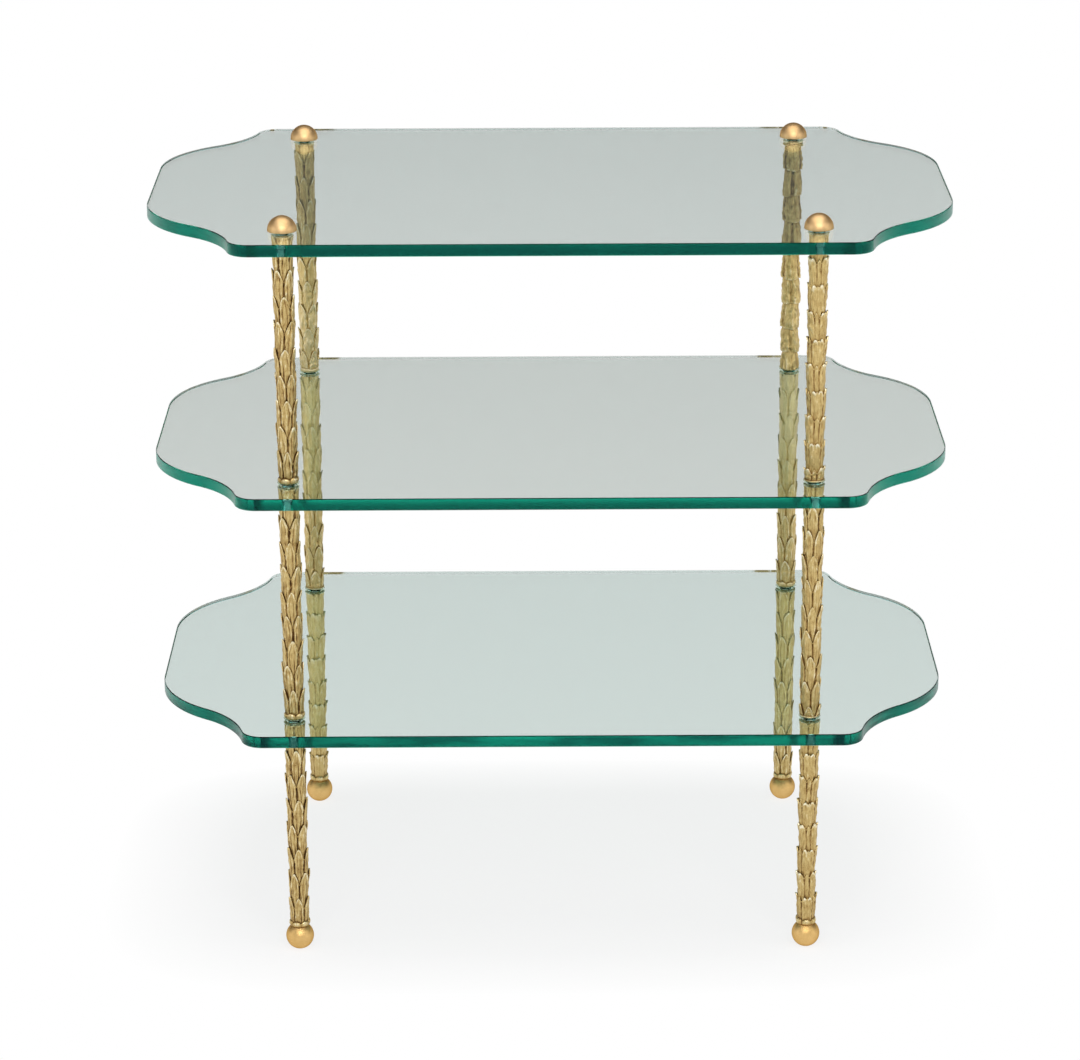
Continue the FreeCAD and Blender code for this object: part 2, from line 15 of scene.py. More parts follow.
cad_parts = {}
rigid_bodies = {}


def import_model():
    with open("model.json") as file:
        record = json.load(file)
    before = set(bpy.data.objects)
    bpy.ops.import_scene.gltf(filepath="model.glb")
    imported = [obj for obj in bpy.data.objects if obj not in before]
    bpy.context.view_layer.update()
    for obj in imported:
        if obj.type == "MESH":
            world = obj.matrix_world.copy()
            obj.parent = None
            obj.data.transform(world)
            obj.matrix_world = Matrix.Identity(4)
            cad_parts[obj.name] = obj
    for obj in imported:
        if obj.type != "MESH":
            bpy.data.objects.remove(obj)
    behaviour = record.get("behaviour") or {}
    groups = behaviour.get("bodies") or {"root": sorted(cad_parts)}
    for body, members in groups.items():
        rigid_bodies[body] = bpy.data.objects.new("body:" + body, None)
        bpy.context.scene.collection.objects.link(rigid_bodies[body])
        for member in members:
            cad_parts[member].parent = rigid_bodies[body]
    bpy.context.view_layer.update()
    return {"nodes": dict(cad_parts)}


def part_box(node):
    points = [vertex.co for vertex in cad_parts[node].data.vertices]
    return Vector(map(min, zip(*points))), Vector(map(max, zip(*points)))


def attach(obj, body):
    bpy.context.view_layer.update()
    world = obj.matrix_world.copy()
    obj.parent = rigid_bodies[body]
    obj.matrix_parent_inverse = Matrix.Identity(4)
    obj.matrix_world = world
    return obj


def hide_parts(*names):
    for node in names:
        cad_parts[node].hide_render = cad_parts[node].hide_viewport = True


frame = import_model()

MM = 0.001
FULL_TURN = 2.0 * math.pi

CORNERS = ("front_left", "front_right", "back_left", "back_right")
SHELVES = ("top_shelf", "middle_shelf", "bottom_shelf")

# A shelf's outline, in millimetres: how far from the ends its shoulders lie, the rounded corners
# and the scoops that follow them, each with its turn, and the step between points of an arc.
SHOULDER_INSET = 92.0
CORNER_RADIUS, CORNER_TURN = 18.0, math.radians(77.0)
SCOOP_RADIUS, SCOOP_TURN = 87.0, math.radians(41.0)
ARC_STEP = math.radians(1.5)

# A shelf's edge and its holes, in millimetres: the arris between edge and face, how far the edge
# is crowned, the holes' radius and how much wider they are at the faces, and how far inside a
# hole's wall its ground skin has its outer and its inner side. A border stays crisp where the
# surface turns by more than the crisp turn.
GLASS_ARRIS, EDGE_CROWN, EDGE_ROWS = 0.6, 0.03, 7
HOLE_RADIUS, HOLE_FLARE, HOLE_ROWS, HOLE_POINTS = 4.0, 1.1, 9, 48
SKIN_OUTER, SKIN_INNER = 0.02, 0.06
CRISP_TURN = math.radians(30.0)

# How deep a green the faces and the edge of each shelf show, from 0 to 1 along the glass's tints. The
# shelves are one glass: the edge's green is partly its own colour and partly painted shade, and the
# differences from shelf to shelf are painted shade.
FACE_TINT_AND_PAINTED_SHADE = {"top_shelf": 0.0, "middle_shelf": 0.02, "bottom_shelf": 0.04}
EDGE_GREEN_AND_PAINTED_SHADE = {"top_shelf": 0.56, "middle_shelf": 0.11, "bottom_shelf": 0.9}

# How dull the edge is ground: a little all round, more everywhere but at the back, and more again along
# the curved ends. The edge's finish, and with it the edge's green with its painted shade, fades out
# between two distances from the back, which paints the back edge paler. What the ends add comes in between
# two distances from the front, in millimetres.
POLISHED, GRIND, END_GRIND = 0.05, 0.07, 0.18
BACK_FADE = (40.0, 5.0)
END_FADE = (3.0, 14.0)

# Turned pieces, in millimetres: the bores for the studs, the caps' rim and the ease of its corner,
# the gap between the dome's last ring and its top, and the radius of the flat that a foot stands
# on. Washers and ground skins stay clear of their neighbours by the seat gap, because clear faces
# that share a plane come out black.
LATHE_POINTS = 72
BORE_RADIUS = 3.1
CAP_BORE, FOOT_BORE, CASTING_BORE = 8.0, 11.0, 17.0
CAP_RIM, CAP_EASE, DOME_GAP, DOME_STEPS = 0.5, 0.15, 0.003, 28
FOOT_FLAT, BALL_STEPS = 3.0, 44
WASHER_HOLE, WASHER_STEPS = 4.1, 7
SEAT_GAP = 0.03

# Castings, in millimetres: the points round a casting, the rows up a tier of leaves, the knobs of
# a curled foot, the radius that stands for all in slopes and widths, how far past the end the
# last tier goes, and the sway of the middle, with its two waves and the distances from an end
# over which it sets in.
COLUMNS, CLIMB_ROWS, KNOBS = 192, 22, 6
MEAN_RADIUS = 8.3
LAST_TIER_OVER = 3.0
SWAY, SWAY_WAVES, SWAY_ENDS = 0.35, (9.0, 11.0), (18.0, 45.0)

# How much single leaves differ: their tips' height, their lean and their bulge in millimetres,
# the share of their size, and how far two waves round the tier shift them, in radians. Then the
# widths of the bead along a rim, the crease at a border and the pocket where the two meet.
TIP_SPREAD, LEAN_SPREAD, BULGE_SPREAD, SIZE_SPREAD = 0.8, 1.3, 0.25, 0.12
STRAYS = (0.09, 0.06)
BEAD_WIDTH, CREASE_WIDTH, POCKET_WIDTH = 1.4, 0.6, 1.5

# The relief, from 0 in the deepest recess to 1 on a rim, of a leaf's body, of its foot in the
# groove and of the bores.
BODY_RELIEF, GROOVE_RELIEF, BORE_RELIEF = 0.54, 0.06, 0.15

# How close points are joined, in metres: where a ring meets itself, and where a casting is cut.
RING_JOIN, CUT_JOIN = 1e-6, 1e-7


# Meshes


def new_piece(name, points, faces, materials, smooth=True):
    """A mesh piece from points in millimetres and lists of faces, standing where its points are."""
    mesh = bpy.data.meshes.new(name)
    mesh.from_pydata((np.asarray(points, float) * MM).tolist(), [], faces)
    mesh.update()
    mesh.polygons.foreach_set("use_smooth", np.full(len(mesh.polygons), smooth))
    for material in materials:
        mesh.materials.append(material)
    piece = bpy.data.objects.new(name, mesh)
    bpy.context.scene.collection.objects.link(piece)
    return piece


def grid_quads(rows, columns):
    """The quads of a grid that closes on itself sideways, facing out when the rows go up and the
    columns go round anticlockwise as seen from above."""
    row, column = np.meshgrid(np.arange(rows - 1), np.arange(columns), indexing="ij")
    beside = (column + 1) % columns
    quads = [row * columns + column, row * columns + beside]
    quads += [(row + 1) * columns + beside, (row + 1) * columns + column]
    return np.stack(quads, axis=-1).reshape(-1, 4)


def ring_angles(count):
    """Evenly spaced angles, once round."""
    return np.linspace(0.0, FULL_TURN, count, endpoint=False)


def spun(profile, theta):
    """For each value of a profile, a row with that value at every angle."""
    return np.asarray(profile, float)[:, None] + 0.0 * theta


def smooth_step(value, low, high):
    """0 below low and 1 above high, with a soft rise between: the square of the share of the way,
    times three less twice the share."""
    t = np.clip((value - low) / (high - low), 0.0, 1.0)
    return t * t * (3.0 - 2.0 * t)


def round_points(radius, height, theta):
    """Points at each radius and height, turned by theta from the front towards the right."""
    x = radius * np.sin(theta)
    y = -radius * np.cos(theta)
    return np.stack([x, y, np.broadcast_to(height, x.shape)], axis=-1)


def closed_shell(radius, height, theta):
    """The points and faces of a closed shell: a grid of rings from the first row to the last, with
    a single point on the axis at each end, which closes it."""
    rows, columns = radius.shape
    points = round_points(radius, height, theta).reshape(-1, 3)
    ends = [(0.0, 0.0, float(height[0].mean())), (0.0, 0.0, float(height[-1].mean()))]
    first, last = len(points), len(points) + 1
    column = np.arange(columns)
    beside = (column + 1) % columns
    top = (rows - 1) * columns
    faces = grid_quads(rows, columns).tolist()
    faces += np.stack([np.full(columns, first), beside, column], axis=-1).tolist()
    faces += np.stack([np.full(columns, last), top + column, top + beside], axis=-1).tolist()
    return np.vstack([points, ends]), faces


def merge_doubles(mesh, distance):
    """Joins points closer than the distance, in metres."""
    work = bmesh.new()
    work.from_mesh(mesh)
    bmesh.ops.remove_doubles(work, verts=work.verts, dist=distance)
    work.to_mesh(mesh)
    work.free()


def ring_piece(name, rings, material):
    """One piece of several rings: each is a grid of points that closes on itself sideways, and
    whose last row lies on its first and is joined to it."""
    points, faces, offset = [], [], 0
    for ring in rings:
        rows, columns = ring.shape[:2]
        points.append(ring.reshape(-1, 3))
        faces += (grid_quads(rows, columns) + offset).tolist()
        offset += rows * columns
    piece = new_piece(name, np.vstack(points), faces, [material])
    merge_doubles(piece.data, RING_JOIN)
    return piece


def set_values(mesh, **attributes):
    """Gives the mesh attributes, each with a value from 0 to 1 for every point."""
    for name, values in attributes.items():
        attribute = mesh.attributes.new(name, "FLOAT", "POINT")
        attribute.data.foreach_set("value", np.clip(values, 0.0, 1.0).astype(np.float32))


def place_of(node):
    """The middle of a CAD node, seen from above, and its lowest and highest point, in millimetres."""
    low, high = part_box(node)
    return (low.x + high.x) / 2 / MM, (low.y + high.y) / 2 / MM, low.z / MM, high.z / MM


def half_size(node):
    """Half the length and half the depth of a CAD node, in millimetres."""
    low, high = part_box(node)
    return (high.x - low.x) / 2 / MM, (high.y - low.y) / 2 / MM


def post_axis(corner):
    """The shift in millimetres that brings a shape on the middle axis to a corner's post."""
    x, y, _, _ = place_of(f"{corner}_leg")
    return x, y, 0.0


def hand_over(piece, node):
    """Rides a piece on the etagere, in place of its CAD node."""
    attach(piece, "root")
    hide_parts(node)


def refinish(node, material):
    """Gives a CAD node that stays as it is a better material."""
    for slot in frame["nodes"][node].material_slots:
        slot.material = material


# Materials


def new_material(name, **inputs):
    """A material of one Principled shader with the given inputs: the material, its node tree, the
    shader and the output that it is led to."""
    material = bpy.data.materials.new(name)
    material.use_nodes = True
    tree = material.node_tree
    tree.nodes.clear()
    shader = add_node(tree, "ShaderNodeBsdfPrincipled", **inputs)
    output = add_node(tree, "ShaderNodeOutputMaterial")
    tree.links.new(shader.outputs["BSDF"], output.inputs["Surface"])
    return material, tree, shader, output


def add_node(tree, kind, settings=None, **inputs):
    """A node with its settings, and values for the sockets named in inputs (spaces as _)."""
    node = tree.nodes.new(kind)
    for name, value in (settings or {}).items():
        setattr(node, name, value)
    for name, value in inputs.items():
        node.inputs[name.replace("_", " ")].default_value = value
    return node


def object_noise(tree, scale, stretch=(1.0, 1.0, 1.0), detail=4.0):
    """Noise in the object's own coordinates. scale is in waves to the metre."""
    coordinates = add_node(tree, "ShaderNodeTexCoord")
    mapping = add_node(tree, "ShaderNodeMapping", Scale=stretch)
    noise = add_node(tree, "ShaderNodeTexNoise", Scale=scale, Detail=detail, Roughness=0.6)
    tree.links.new(coordinates.outputs["Object"], mapping.inputs["Vector"])
    tree.links.new(mapping.outputs["Vector"], noise.inputs["Vector"])
    return noise.outputs["Fac"]


def add_maths(tree, operation, first, second):
    """first and second, each a socket or a number, put together by one operation."""
    node = add_node(tree, "ShaderNodeMath", {"operation": operation})
    for index, value in enumerate((first, second)):
        if isinstance(value, (int, float)):
            node.inputs[index].default_value = value
        else:
            tree.links.new(value, node.inputs[index])
    return node.outputs["Value"]


def map_range(tree, source, low, high, new_low, new_high):
    """The source, carried from low..high to new_low..new_high and held at both ends."""
    ends = {"From_Min": low, "From_Max": high, "To_Min": new_low, "To_Max": new_high}
    node = add_node(tree, "ShaderNodeMapRange", **ends)
    tree.links.new(source, node.inputs["Value"])
    return node.outputs["Result"]


def colour_ramp(tree, source, stops):
    """Colours along a ramp. stops are pairs of a place from 0 to 1 and a colour."""
    ramp = add_node(tree, "ShaderNodeValToRGB")
    elements = ramp.color_ramp.elements
    while len(elements) < len(stops):
        elements.new(0.5)
    for element, (place, colour) in zip(elements, stops):
        element.position = place
        element.color = (*colour, 1.0)
    tree.links.new(source, ramp.inputs["Fac"])
    return ramp.outputs["Color"]


def add_bump(tree, height, strength, distance):
    """A normal bent by a height, whose full swing stands for the distance in metres."""
    bump = add_node(tree, "ShaderNodeBump", Strength=strength, Distance=distance)
    tree.links.new(height, bump.inputs["Height"])
    return bump.outputs["Normal"]


def lamps_pass(tree, shader, tint):
    """The shader, but lamps shine through it, dimmed by the tint, so that it throws no dark shadow."""
    path = add_node(tree, "ShaderNodeLightPath")
    clear = add_node(tree, "ShaderNodeBsdfTransparent", Color=(*tint, 1.0))
    mix = add_node(tree, "ShaderNodeMixShader")
    tree.links.new(path.outputs["Is Shadow Ray"], mix.inputs["Fac"])
    tree.links.new(shader, mix.inputs[1])
    tree.links.new(clear.outputs["BSDF"], mix.inputs[2])
    return mix.outputs["Shader"]


def make_plate_glass():
    """Clear float glass: nearly colourless through its faces, and deep green along its length, because the
    iron in it takes out red and some blue. Its gloss has a trace of smear. The ground attribute says how
    far the edge is ground rather than polished, and so dull. The depth attribute says how deep a green and
    how dark the glass shows, which is partly the glass's own green and partly painted shade. Long level
    streaks along the edge, lighter and darker, are painted glints and painted shade, and the green tint of
    what it mirrors is painted too."""
    # The green specular tint is painted: it deepens the green that the edge shows.
    inputs = {"Transmission_Weight": 1.0, "IOR": 1.52, "Specular_Tint": (0.12, 0.95, 0.88, 1.0)}
    material, tree, glass, output = new_material("plate_glass", **inputs)
    smear = object_noise(tree, 9.0, (1.0, 2.5, 1.0))
    ground = add_node(tree, "ShaderNodeAttribute", {"attribute_name": "ground"}).outputs["Fac"]
    smeared = map_range(tree, smear, 0.45, 0.8, 0.0, 0.02)
    tree.links.new(add_maths(tree, "ADD", ground, smeared), glass.inputs["Roughness"])
    depth = add_node(tree, "ShaderNodeAttribute", {"attribute_name": "depth"}).outputs["Fac"]
    # Level streaks that lighten and darken the edge's green: painted glints and painted shade.
    streaks = object_noise(tree, 11.0, (1.0, 1.0, 9.0))
    swing = map_range(tree, streaks, 0.3, 0.7, -0.5, 0.35)
    on_the_edge = map_range(tree, depth, 0.05, 0.10, 0.0, 1.0)
    swing = add_maths(tree, "MULTIPLY", swing, on_the_edge)
    swing = add_maths(tree, "ADD", swing, 1.0)
    depth = add_maths(tree, "MULTIPLY", depth, swing)
    # Along the depth, the faces' slight greys differ from shelf to shelf as painted shade. The edge's
    # green, down to nearly black, is painted shade on the glass's own green.
    tints = [
        (0.00, (1.0, 1.0, 0.98)),
        (0.02, (0.91, 0.91, 0.885)),
        (0.04, (0.88, 0.925, 0.90)),
        (0.10, (0.30, 1.0, 0.92)),
        (1.00, (0.02, 0.05, 0.048)),
    ]
    tree.links.new(colour_ramp(tree, depth, tints), glass.inputs["Base Color"])
    inputs = {"Density": 12.0, "Color": (0.08, 0.83, 0.74, 1.0)}
    absorption = add_node(tree, "ShaderNodeVolumeAbsorption", **inputs)
    shader = lamps_pass(tree, glass.outputs["BSDF"], (0.90, 0.94, 0.92))
    tree.links.new(shader, output.inputs["Surface"])
    tree.links.new(absorption.outputs["Volume"], output.inputs["Volume"])
    return material


def make_ground_glass():
    """The ground wall of a drilled hole: pale, matt and slightly green."""
    material, tree, ground, _ = new_material("ground_glass", IOR=1.52)
    grain = object_noise(tree, 1500.0)
    colour = colour_ramp(tree, grain, [(0.3, (0.38, 0.41, 0.38)), (0.7, (0.56, 0.59, 0.55))])
    tree.links.new(colour, ground.inputs["Base Color"])
    tree.links.new(map_range(tree, grain, 0.3, 0.7, 0.6, 0.85), ground.inputs["Roughness"])
    tree.links.new(add_bump(tree, grain, 0.4, 0.0001), ground.inputs["Normal"])
    return material


def make_cast_brass():
    """Cast brass with an antique finish: dark in the recesses, warm brass on the leaves and rubbed bright
    along their rims, with fine upright fibres and casting pits. It follows the casting's own relief
    attribute, from 0 in the deepest recess to 1 on a rim, and its patina attribute. That attribute says
    how much of the dark finish was left on, and where it grows up a post towards the shelf above it paints
    shade there."""
    material, tree, brass, _ = new_material("antique_cast_brass", Metallic=0.9, IOR=1.45)
    relief = add_node(tree, "ShaderNodeAttribute", {"attribute_name": "relief"}).outputs["Fac"]
    # The second attribute is the dark finish left on, with painted shade where it grows up a post towards
    # the shelf above.
    patina = add_node(tree, "ShaderNodeAttribute", {"attribute_name": "patina"}).outputs["Fac"]
    fibre = object_noise(tree, 900.0, (1.0, 1.0, 0.16), 5.0)
    blotch = object_noise(tree, 170.0)
    pit = object_noise(tree, 1500.0, (1.0, 1.0, 0.6), 2.0)
    fibre_part = map_range(tree, fibre, 0.25, 0.75, -0.20, 0.20)
    blotch_part = map_range(tree, blotch, 0.3, 0.7, -0.12, 0.12)
    pit_part = map_range(tree, pit, 0.33, 0.45, -0.22, 0.02)
    marks = add_maths(tree, "ADD", add_maths(tree, "ADD", fibre_part, blotch_part), pit_part)
    height = add_maths(tree, "SUBTRACT", relief, 0.62)
    shade = add_maths(tree, "ADD", height, marks)
    shade = add_maths(tree, "MULTIPLY", shade, patina)
    clean = map_range(tree, patina, 0.0, 1.0, 0.82, 0.585)
    tone = add_maths(tree, "ADD", shade, clean)
    tints = [
        (0.00, (0.070, 0.034, 0.012)),
        (0.20, (0.260, 0.145, 0.048)),
        (0.42, (0.480, 0.330, 0.122)),
        (0.70, (0.660, 0.505, 0.218)),
        (1.00, (1.000, 0.940, 0.720)),
    ]
    tree.links.new(colour_ramp(tree, tone, tints), brass.inputs["Base Color"])
    tree.links.new(map_range(tree, tone, 0.0, 1.0, 0.60, 0.34), brass.inputs["Roughness"])
    grain = add_maths(tree, "ADD", fibre, add_maths(tree, "MULTIPLY", pit, 0.6))
    tree.links.new(add_bump(tree, grain, 0.5, 0.0002), brass.inputs["Normal"])
    return material


def make_satin_brass(name, dull, bright):
    """Satin brass: warm gold between its dull and its bright colour, with a fine random scratch that
    softens what it mirrors. Its dark specular tint makes it mirror less where it curves out of sight,
    which paints shade along its rims."""
    # The dark specular tint is painted shade at grazing angles.
    inputs = {"Metallic": 1.0, "IOR": 1.45, "Specular_Tint": (0.50, 0.38, 0.26, 1.0)}
    material, tree, brass, _ = new_material(name, **inputs)
    grain = object_noise(tree, 2600.0, (1.0, 1.0, 0.35), 3.0)
    cloud = object_noise(tree, 120.0)
    scratch = map_range(tree, grain, 0.3, 0.7, -0.25, 0.25)
    tone = add_maths(tree, "ADD", scratch, cloud)
    colour = colour_ramp(tree, tone, [(0.2, dull), (0.8, bright)])
    tree.links.new(colour, brass.inputs["Base Color"])
    tree.links.new(map_range(tree, grain, 0.25, 0.75, 0.41, 0.53), brass.inputs["Roughness"])
    tree.links.new(add_bump(tree, grain, 0.12, 0.00005), brass.inputs["Normal"])
    return material


def make_clear_plastic():
    """Soft clear plastic, pressed so close to the glass and the brass that it bends light little:
    see-through, faintly green, with a dull gloss."""
    inputs = {"Transmission_Weight": 1.0, "IOR": 1.12, "Base_Color": (0.72, 0.80, 0.66, 1.0)}
    material, tree, plastic, output = new_material("clear_plastic", **inputs)
    smear = object_noise(tree, 700.0)
    tree.links.new(map_range(tree, smear, 0.3, 0.7, 0.06, 0.16), plastic.inputs["Roughness"])
    shader = lamps_pass(tree, plastic.outputs["BSDF"], (0.90, 0.92, 0.90))
    tree.links.new(shader, output.inputs["Surface"])
    return material


def make_threaded_steel():
    """Plain steel rod with a fine thread rolled on it, as bands up its length."""
    material, tree, steel, _ = new_material("threaded_steel", Metallic=1.0, IOR=1.45)
    coordinates = add_node(tree, "ShaderNodeTexCoord")
    thread = add_node(tree, "ShaderNodeTexWave", {"bands_direction": "Z"}, Scale=320.0, Distortion=0.0)
    tree.links.new(coordinates.outputs["Object"], thread.inputs["Vector"])
    cloud = object_noise(tree, 300.0)
    colour = colour_ramp(tree, cloud, [(0.3, (0.42, 0.43, 0.44)), (0.7, (0.58, 0.58, 0.57))])
    tree.links.new(colour, steel.inputs["Base Color"])
    tree.links.new(map_range(tree, cloud, 0.3, 0.7, 0.28, 0.42), steel.inputs["Roughness"])
    tree.links.new(add_bump(tree, thread.outputs["Fac"], 0.8, 0.0004), steel.inputs["Normal"])
    return material


PLATE_GLASS = make_plate_glass()
GROUND_GLASS = make_ground_glass()
CAST_BRASS = make_cast_brass()
CAP_BRASS = make_satin_brass("satin_cap_brass", (0.70, 0.45, 0.20), (0.82, 0.56, 0.29))
FOOT_BRASS = make_satin_brass("satin_foot_brass", (0.68, 0.44, 0.155), (0.84, 0.56, 0.23))
CLEAR_PLASTIC = make_clear_plastic()
THREADED_STEEL = make_threaded_steel()


# Glass shelves


def arc(start, heading, radius, turn):
    """Points of an arc that leaves start along heading and turns by turn, and their headings.
    x grows by the radius times the change in the sine of the heading, and y by the radius times
    the fall in its cosine; a right-hand turn counts its radius as negative."""
    steps = max(2, int(math.ceil(abs(turn) / ARC_STEP)))
    headings = heading + turn * np.linspace(0.0, 1.0, steps + 1)
    signed = math.copysign(radius, turn)
    x = start[0] + signed * (np.sin(headings) - math.sin(heading))
    y = start[1] + signed * (math.cos(heading) - np.cos(headings))
    return np.stack([x, y], axis=-1), headings


def shelf_outline(half_length, half_depth):
    """The shelf's outline, anticlockwise, and the heading at each point. A quarter runs straight
    from the middle of the front, rounds the shoulder, hollows back, and swells into the end lobe,
    whose radius is what it takes to meet the end square. The rest mirrors it."""
    shoulder = (half_length - SHOULDER_INSET, -half_depth)
    corner, corner_heading = arc(shoulder, 0.0, CORNER_RADIUS, CORNER_TURN)
    scoop, scoop_heading = arc(corner[-1], corner_heading[-1], SCOOP_RADIUS, -SCOOP_TURN)
    heading = scoop_heading[-1]
    lobe_radius = (half_length - scoop[-1][0]) / (1.0 - math.sin(heading))
    lobe, lobe_heading = arc(scoop[-1], heading, lobe_radius, math.pi / 2 - heading)
    quarter = np.vstack([corner, scoop[1:], lobe[1:]])
    headings = np.concatenate([corner_heading, scoop_heading[1:], lobe_heading[1:]])
    half = np.vstack([quarter, quarter[::-1] * (1.0, -1.0)])
    half_headings = np.concatenate([headings, math.pi - headings[::-1]])
    return np.vstack([half, -half]), np.concatenate([half_headings, half_headings + math.pi])


def swept_rim(outline, headings, inset, height):
    """A profile carried round the outline: each of its points lies inset from the outline, square
    to it, at its own height."""
    outward = np.stack([np.sin(headings), -np.cos(headings)], axis=-1)
    flat = outline[None] - inset[:, None, None] * outward[None]
    tall = np.broadcast_to(height[:, None, None], (*flat.shape[:2], 1))
    return np.concatenate([flat, tall], axis=-1)


def hole_profile(low, high):
    """Radius and height up the wall of a hole drilled from both faces: it widens from its middle
    as the power 2.5 of the way to a face."""
    depth = np.linspace(-1.0, 1.0, HOLE_ROWS)
    radius = HOLE_RADIUS + HOLE_FLARE * np.abs(depth) ** 2.5
    return radius, (low + high) / 2 + (high - low) / 2 * depth


def make_ground_bores(node):
    """The ground skin of a shelf's four holes: the hole's own profile, up its outer side and down
    its inner side, carried round each hole."""
    _, _, low, high = place_of(node)
    radius, level = hole_profile(low + SEAT_GAP, high - SEAT_GAP)
    outer, inner = radius - SKIN_OUTER, radius[::-1] - SKIN_INNER
    theta = ring_angles(HOLE_POINTS)
    skin = spun(np.concatenate([outer, inner, outer[:1]]), theta)
    height = spun(np.concatenate([level, level[::-1], level[:1]]), theta)
    rings = [round_points(skin, height, theta) + post_axis(corner) for corner in CORNERS]
    piece = ring_piece(f"{node}_ground_bores", rings, GROUND_GLASS)
    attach(piece, "root")


def edge_finish(outline, half_depth):
    """How dull a shelf's edge is ground, and how far it shows its deep green, round the outline. Both fade
    out towards the back, where the fading green paints the back edge paler, and the curved ends are ground
    duller than the straight front."""
    y = outline[:, 1]
    facing = 1.0 - smooth_step(y, half_depth - BACK_FADE[0], half_depth - BACK_FADE[1])
    curved = smooth_step(y, END_FADE[0] - half_depth, END_FADE[1] - half_depth)
    return POLISHED + (GRIND + END_GRIND * curved) * facing, facing


def make_shelf(node):
    """A glass plate: a polished edge, crowned by a parabola between two arrises, is carried round
    the outline, four holes go through it, and a flat face is filled in above and below."""
    _, _, low, high = place_of(node)
    half_length, half_depth = half_size(node)
    outline, headings = shelf_outline(half_length, half_depth)
    side = np.linspace(-1.0, 1.0, EDGE_ROWS)
    arris = [GLASS_ARRIS + EDGE_CROWN]
    inset = np.concatenate([arris, EDGE_CROWN * side**2, arris])
    middle, reach = (low + high) / 2, (high - low) / 2
    height = middle + np.concatenate([[-reach], (reach - GLASS_ARRIS) * side, [reach]])
    rim = swept_rim(outline, headings, inset, height)
    rows, columns = rim.shape[:2]
    points, faces = [rim.reshape(-1, 3)], grid_quads(rows, columns).tolist()
    offset = rows * columns
    theta = ring_angles(HOLE_POINTS)
    radius, level = (spun(profile, theta) for profile in hole_profile(low, high))
    for post in CORNERS:
        points.append((round_points(radius, level, theta) + post_axis(post)).reshape(-1, 3))
        faces += (grid_quads(HOLE_ROWS, HOLE_POINTS)[:, ::-1] + offset).tolist()
        offset += HOLE_ROWS * HOLE_POINTS
    piece = new_piece(f"{node}_plate", np.vstack(points), faces, [PLATE_GLASS])
    dull, green = edge_finish(outline, half_depth)
    edge = slice(columns, (rows - 1) * columns)
    # The depth paints each shelf's faces and edge with its own shade of grey and green.
    ground, depth = np.zeros(offset), np.full(offset, FACE_TINT_AND_PAINTED_SHADE[node])
    ground[edge] = np.tile(dull, rows - 2)
    depth[edge] += np.tile((EDGE_GREEN_AND_PAINTED_SHADE[node] - FACE_TINT_AND_PAINTED_SHADE[node]) * green, rows - 2)
    set_values(piece.data, ground=ground, depth=depth)
    fill_flats(piece.data, middle * MM)
    hand_over(piece, node)


def fill_flats(mesh, middle):
    """Fills the flat faces below and above a plate's middle height, in metres, between its rim and
    its holes, and keeps the borders crisp where the surface turns sharply."""
    work = bmesh.new()
    work.from_mesh(mesh)
    for side in (-1.0, 1.0):
        open_edges = [edge for edge in work.edges if edge.is_boundary]
        edges = [edge for edge in open_edges if side * (edge.verts[0].co.z - middle) > 0.0]
        filled = bmesh.ops.triangle_fill(work, edges=edges, use_beauty=True, normal=(0.0, 0.0, side))
        for item in filled["geom"]:
            if isinstance(item, bmesh.types.BMFace) and item.normal.z * side < 0.0:
                item.normal_flip()
    work.to_mesh(mesh)
    work.free()
    mesh.polygons.foreach_set("use_smooth", np.full(len(mesh.polygons), True))
    mesh.set_sharp_from_angle(angle=CRISP_TURN)


# Turned pieces


def turned_piece(name, profile, place, material):
    """A closed turned piece: a profile of radius and height, spun about an upright axis."""
    theta = ring_angles(LATHE_POINTS)
    points, faces = closed_shell(spun(profile[:, 0], theta), spun(profile[:, 1], theta), theta)
    return new_piece(name, points + (*place, 0.0), faces, [material])


def sphere_arc(radius, centre, low, high, steps):
    """Radius and height along a ball's side between two heights: the radius is the root of the
    ball's radius squared less the height over its centre squared."""
    first = math.asin(max(-1.0, min(1.0, (low - centre) / radius)))
    last = math.asin(max(-1.0, min(1.0, (high - centre) / radius)))
    angle = np.linspace(first, last, steps)
    return np.stack([radius * np.cos(angle), centre + radius * np.sin(angle)], axis=-1)


def make_cap(corner):
    """A domed cap: a flat underside with a tapped hole, a short upright rim, and a dome that rises
    from the rim as part of a ball."""
    node = f"{corner}_dome_cap"
    x, y, low, high = place_of(node)
    radius, _ = half_size(node)
    rise = high - low - CAP_RIM
    ball = (radius**2 + rise**2) / (2 * rise)
    dome = sphere_arc(ball, high - ball, low + CAP_RIM, high - DOME_GAP, DOME_STEPS)
    under = [(BORE_RADIUS, low + CAP_BORE), (BORE_RADIUS, low)]
    under += [(radius - CAP_EASE, low), (radius, low + CAP_EASE)]
    piece = turned_piece(f"{corner}_cap_dome", np.vstack([under, dome]), (x, y), CAP_BRASS)
    hand_over(piece, node)


def make_foot(corner):
    """A ball foot: a ball with a small ground flat to stand on, and a flat seat with a tapped hole
    where the leg meets it."""
    node = f"{corner}_ball_foot"
    x, y, low, high = place_of(node)
    radius, _ = half_size(node)
    centre = low + math.sqrt(radius**2 - FOOT_FLAT**2)
    ball = sphere_arc(radius, centre, low, high, BALL_STEPS)
    seat = [(BORE_RADIUS, high), (BORE_RADIUS, high - FOOT_BORE)]
    piece = turned_piece(f"{corner}_foot_ball", np.vstack([ball, seat]), (x, y), FOOT_BRASS)
    hand_over(piece, node)


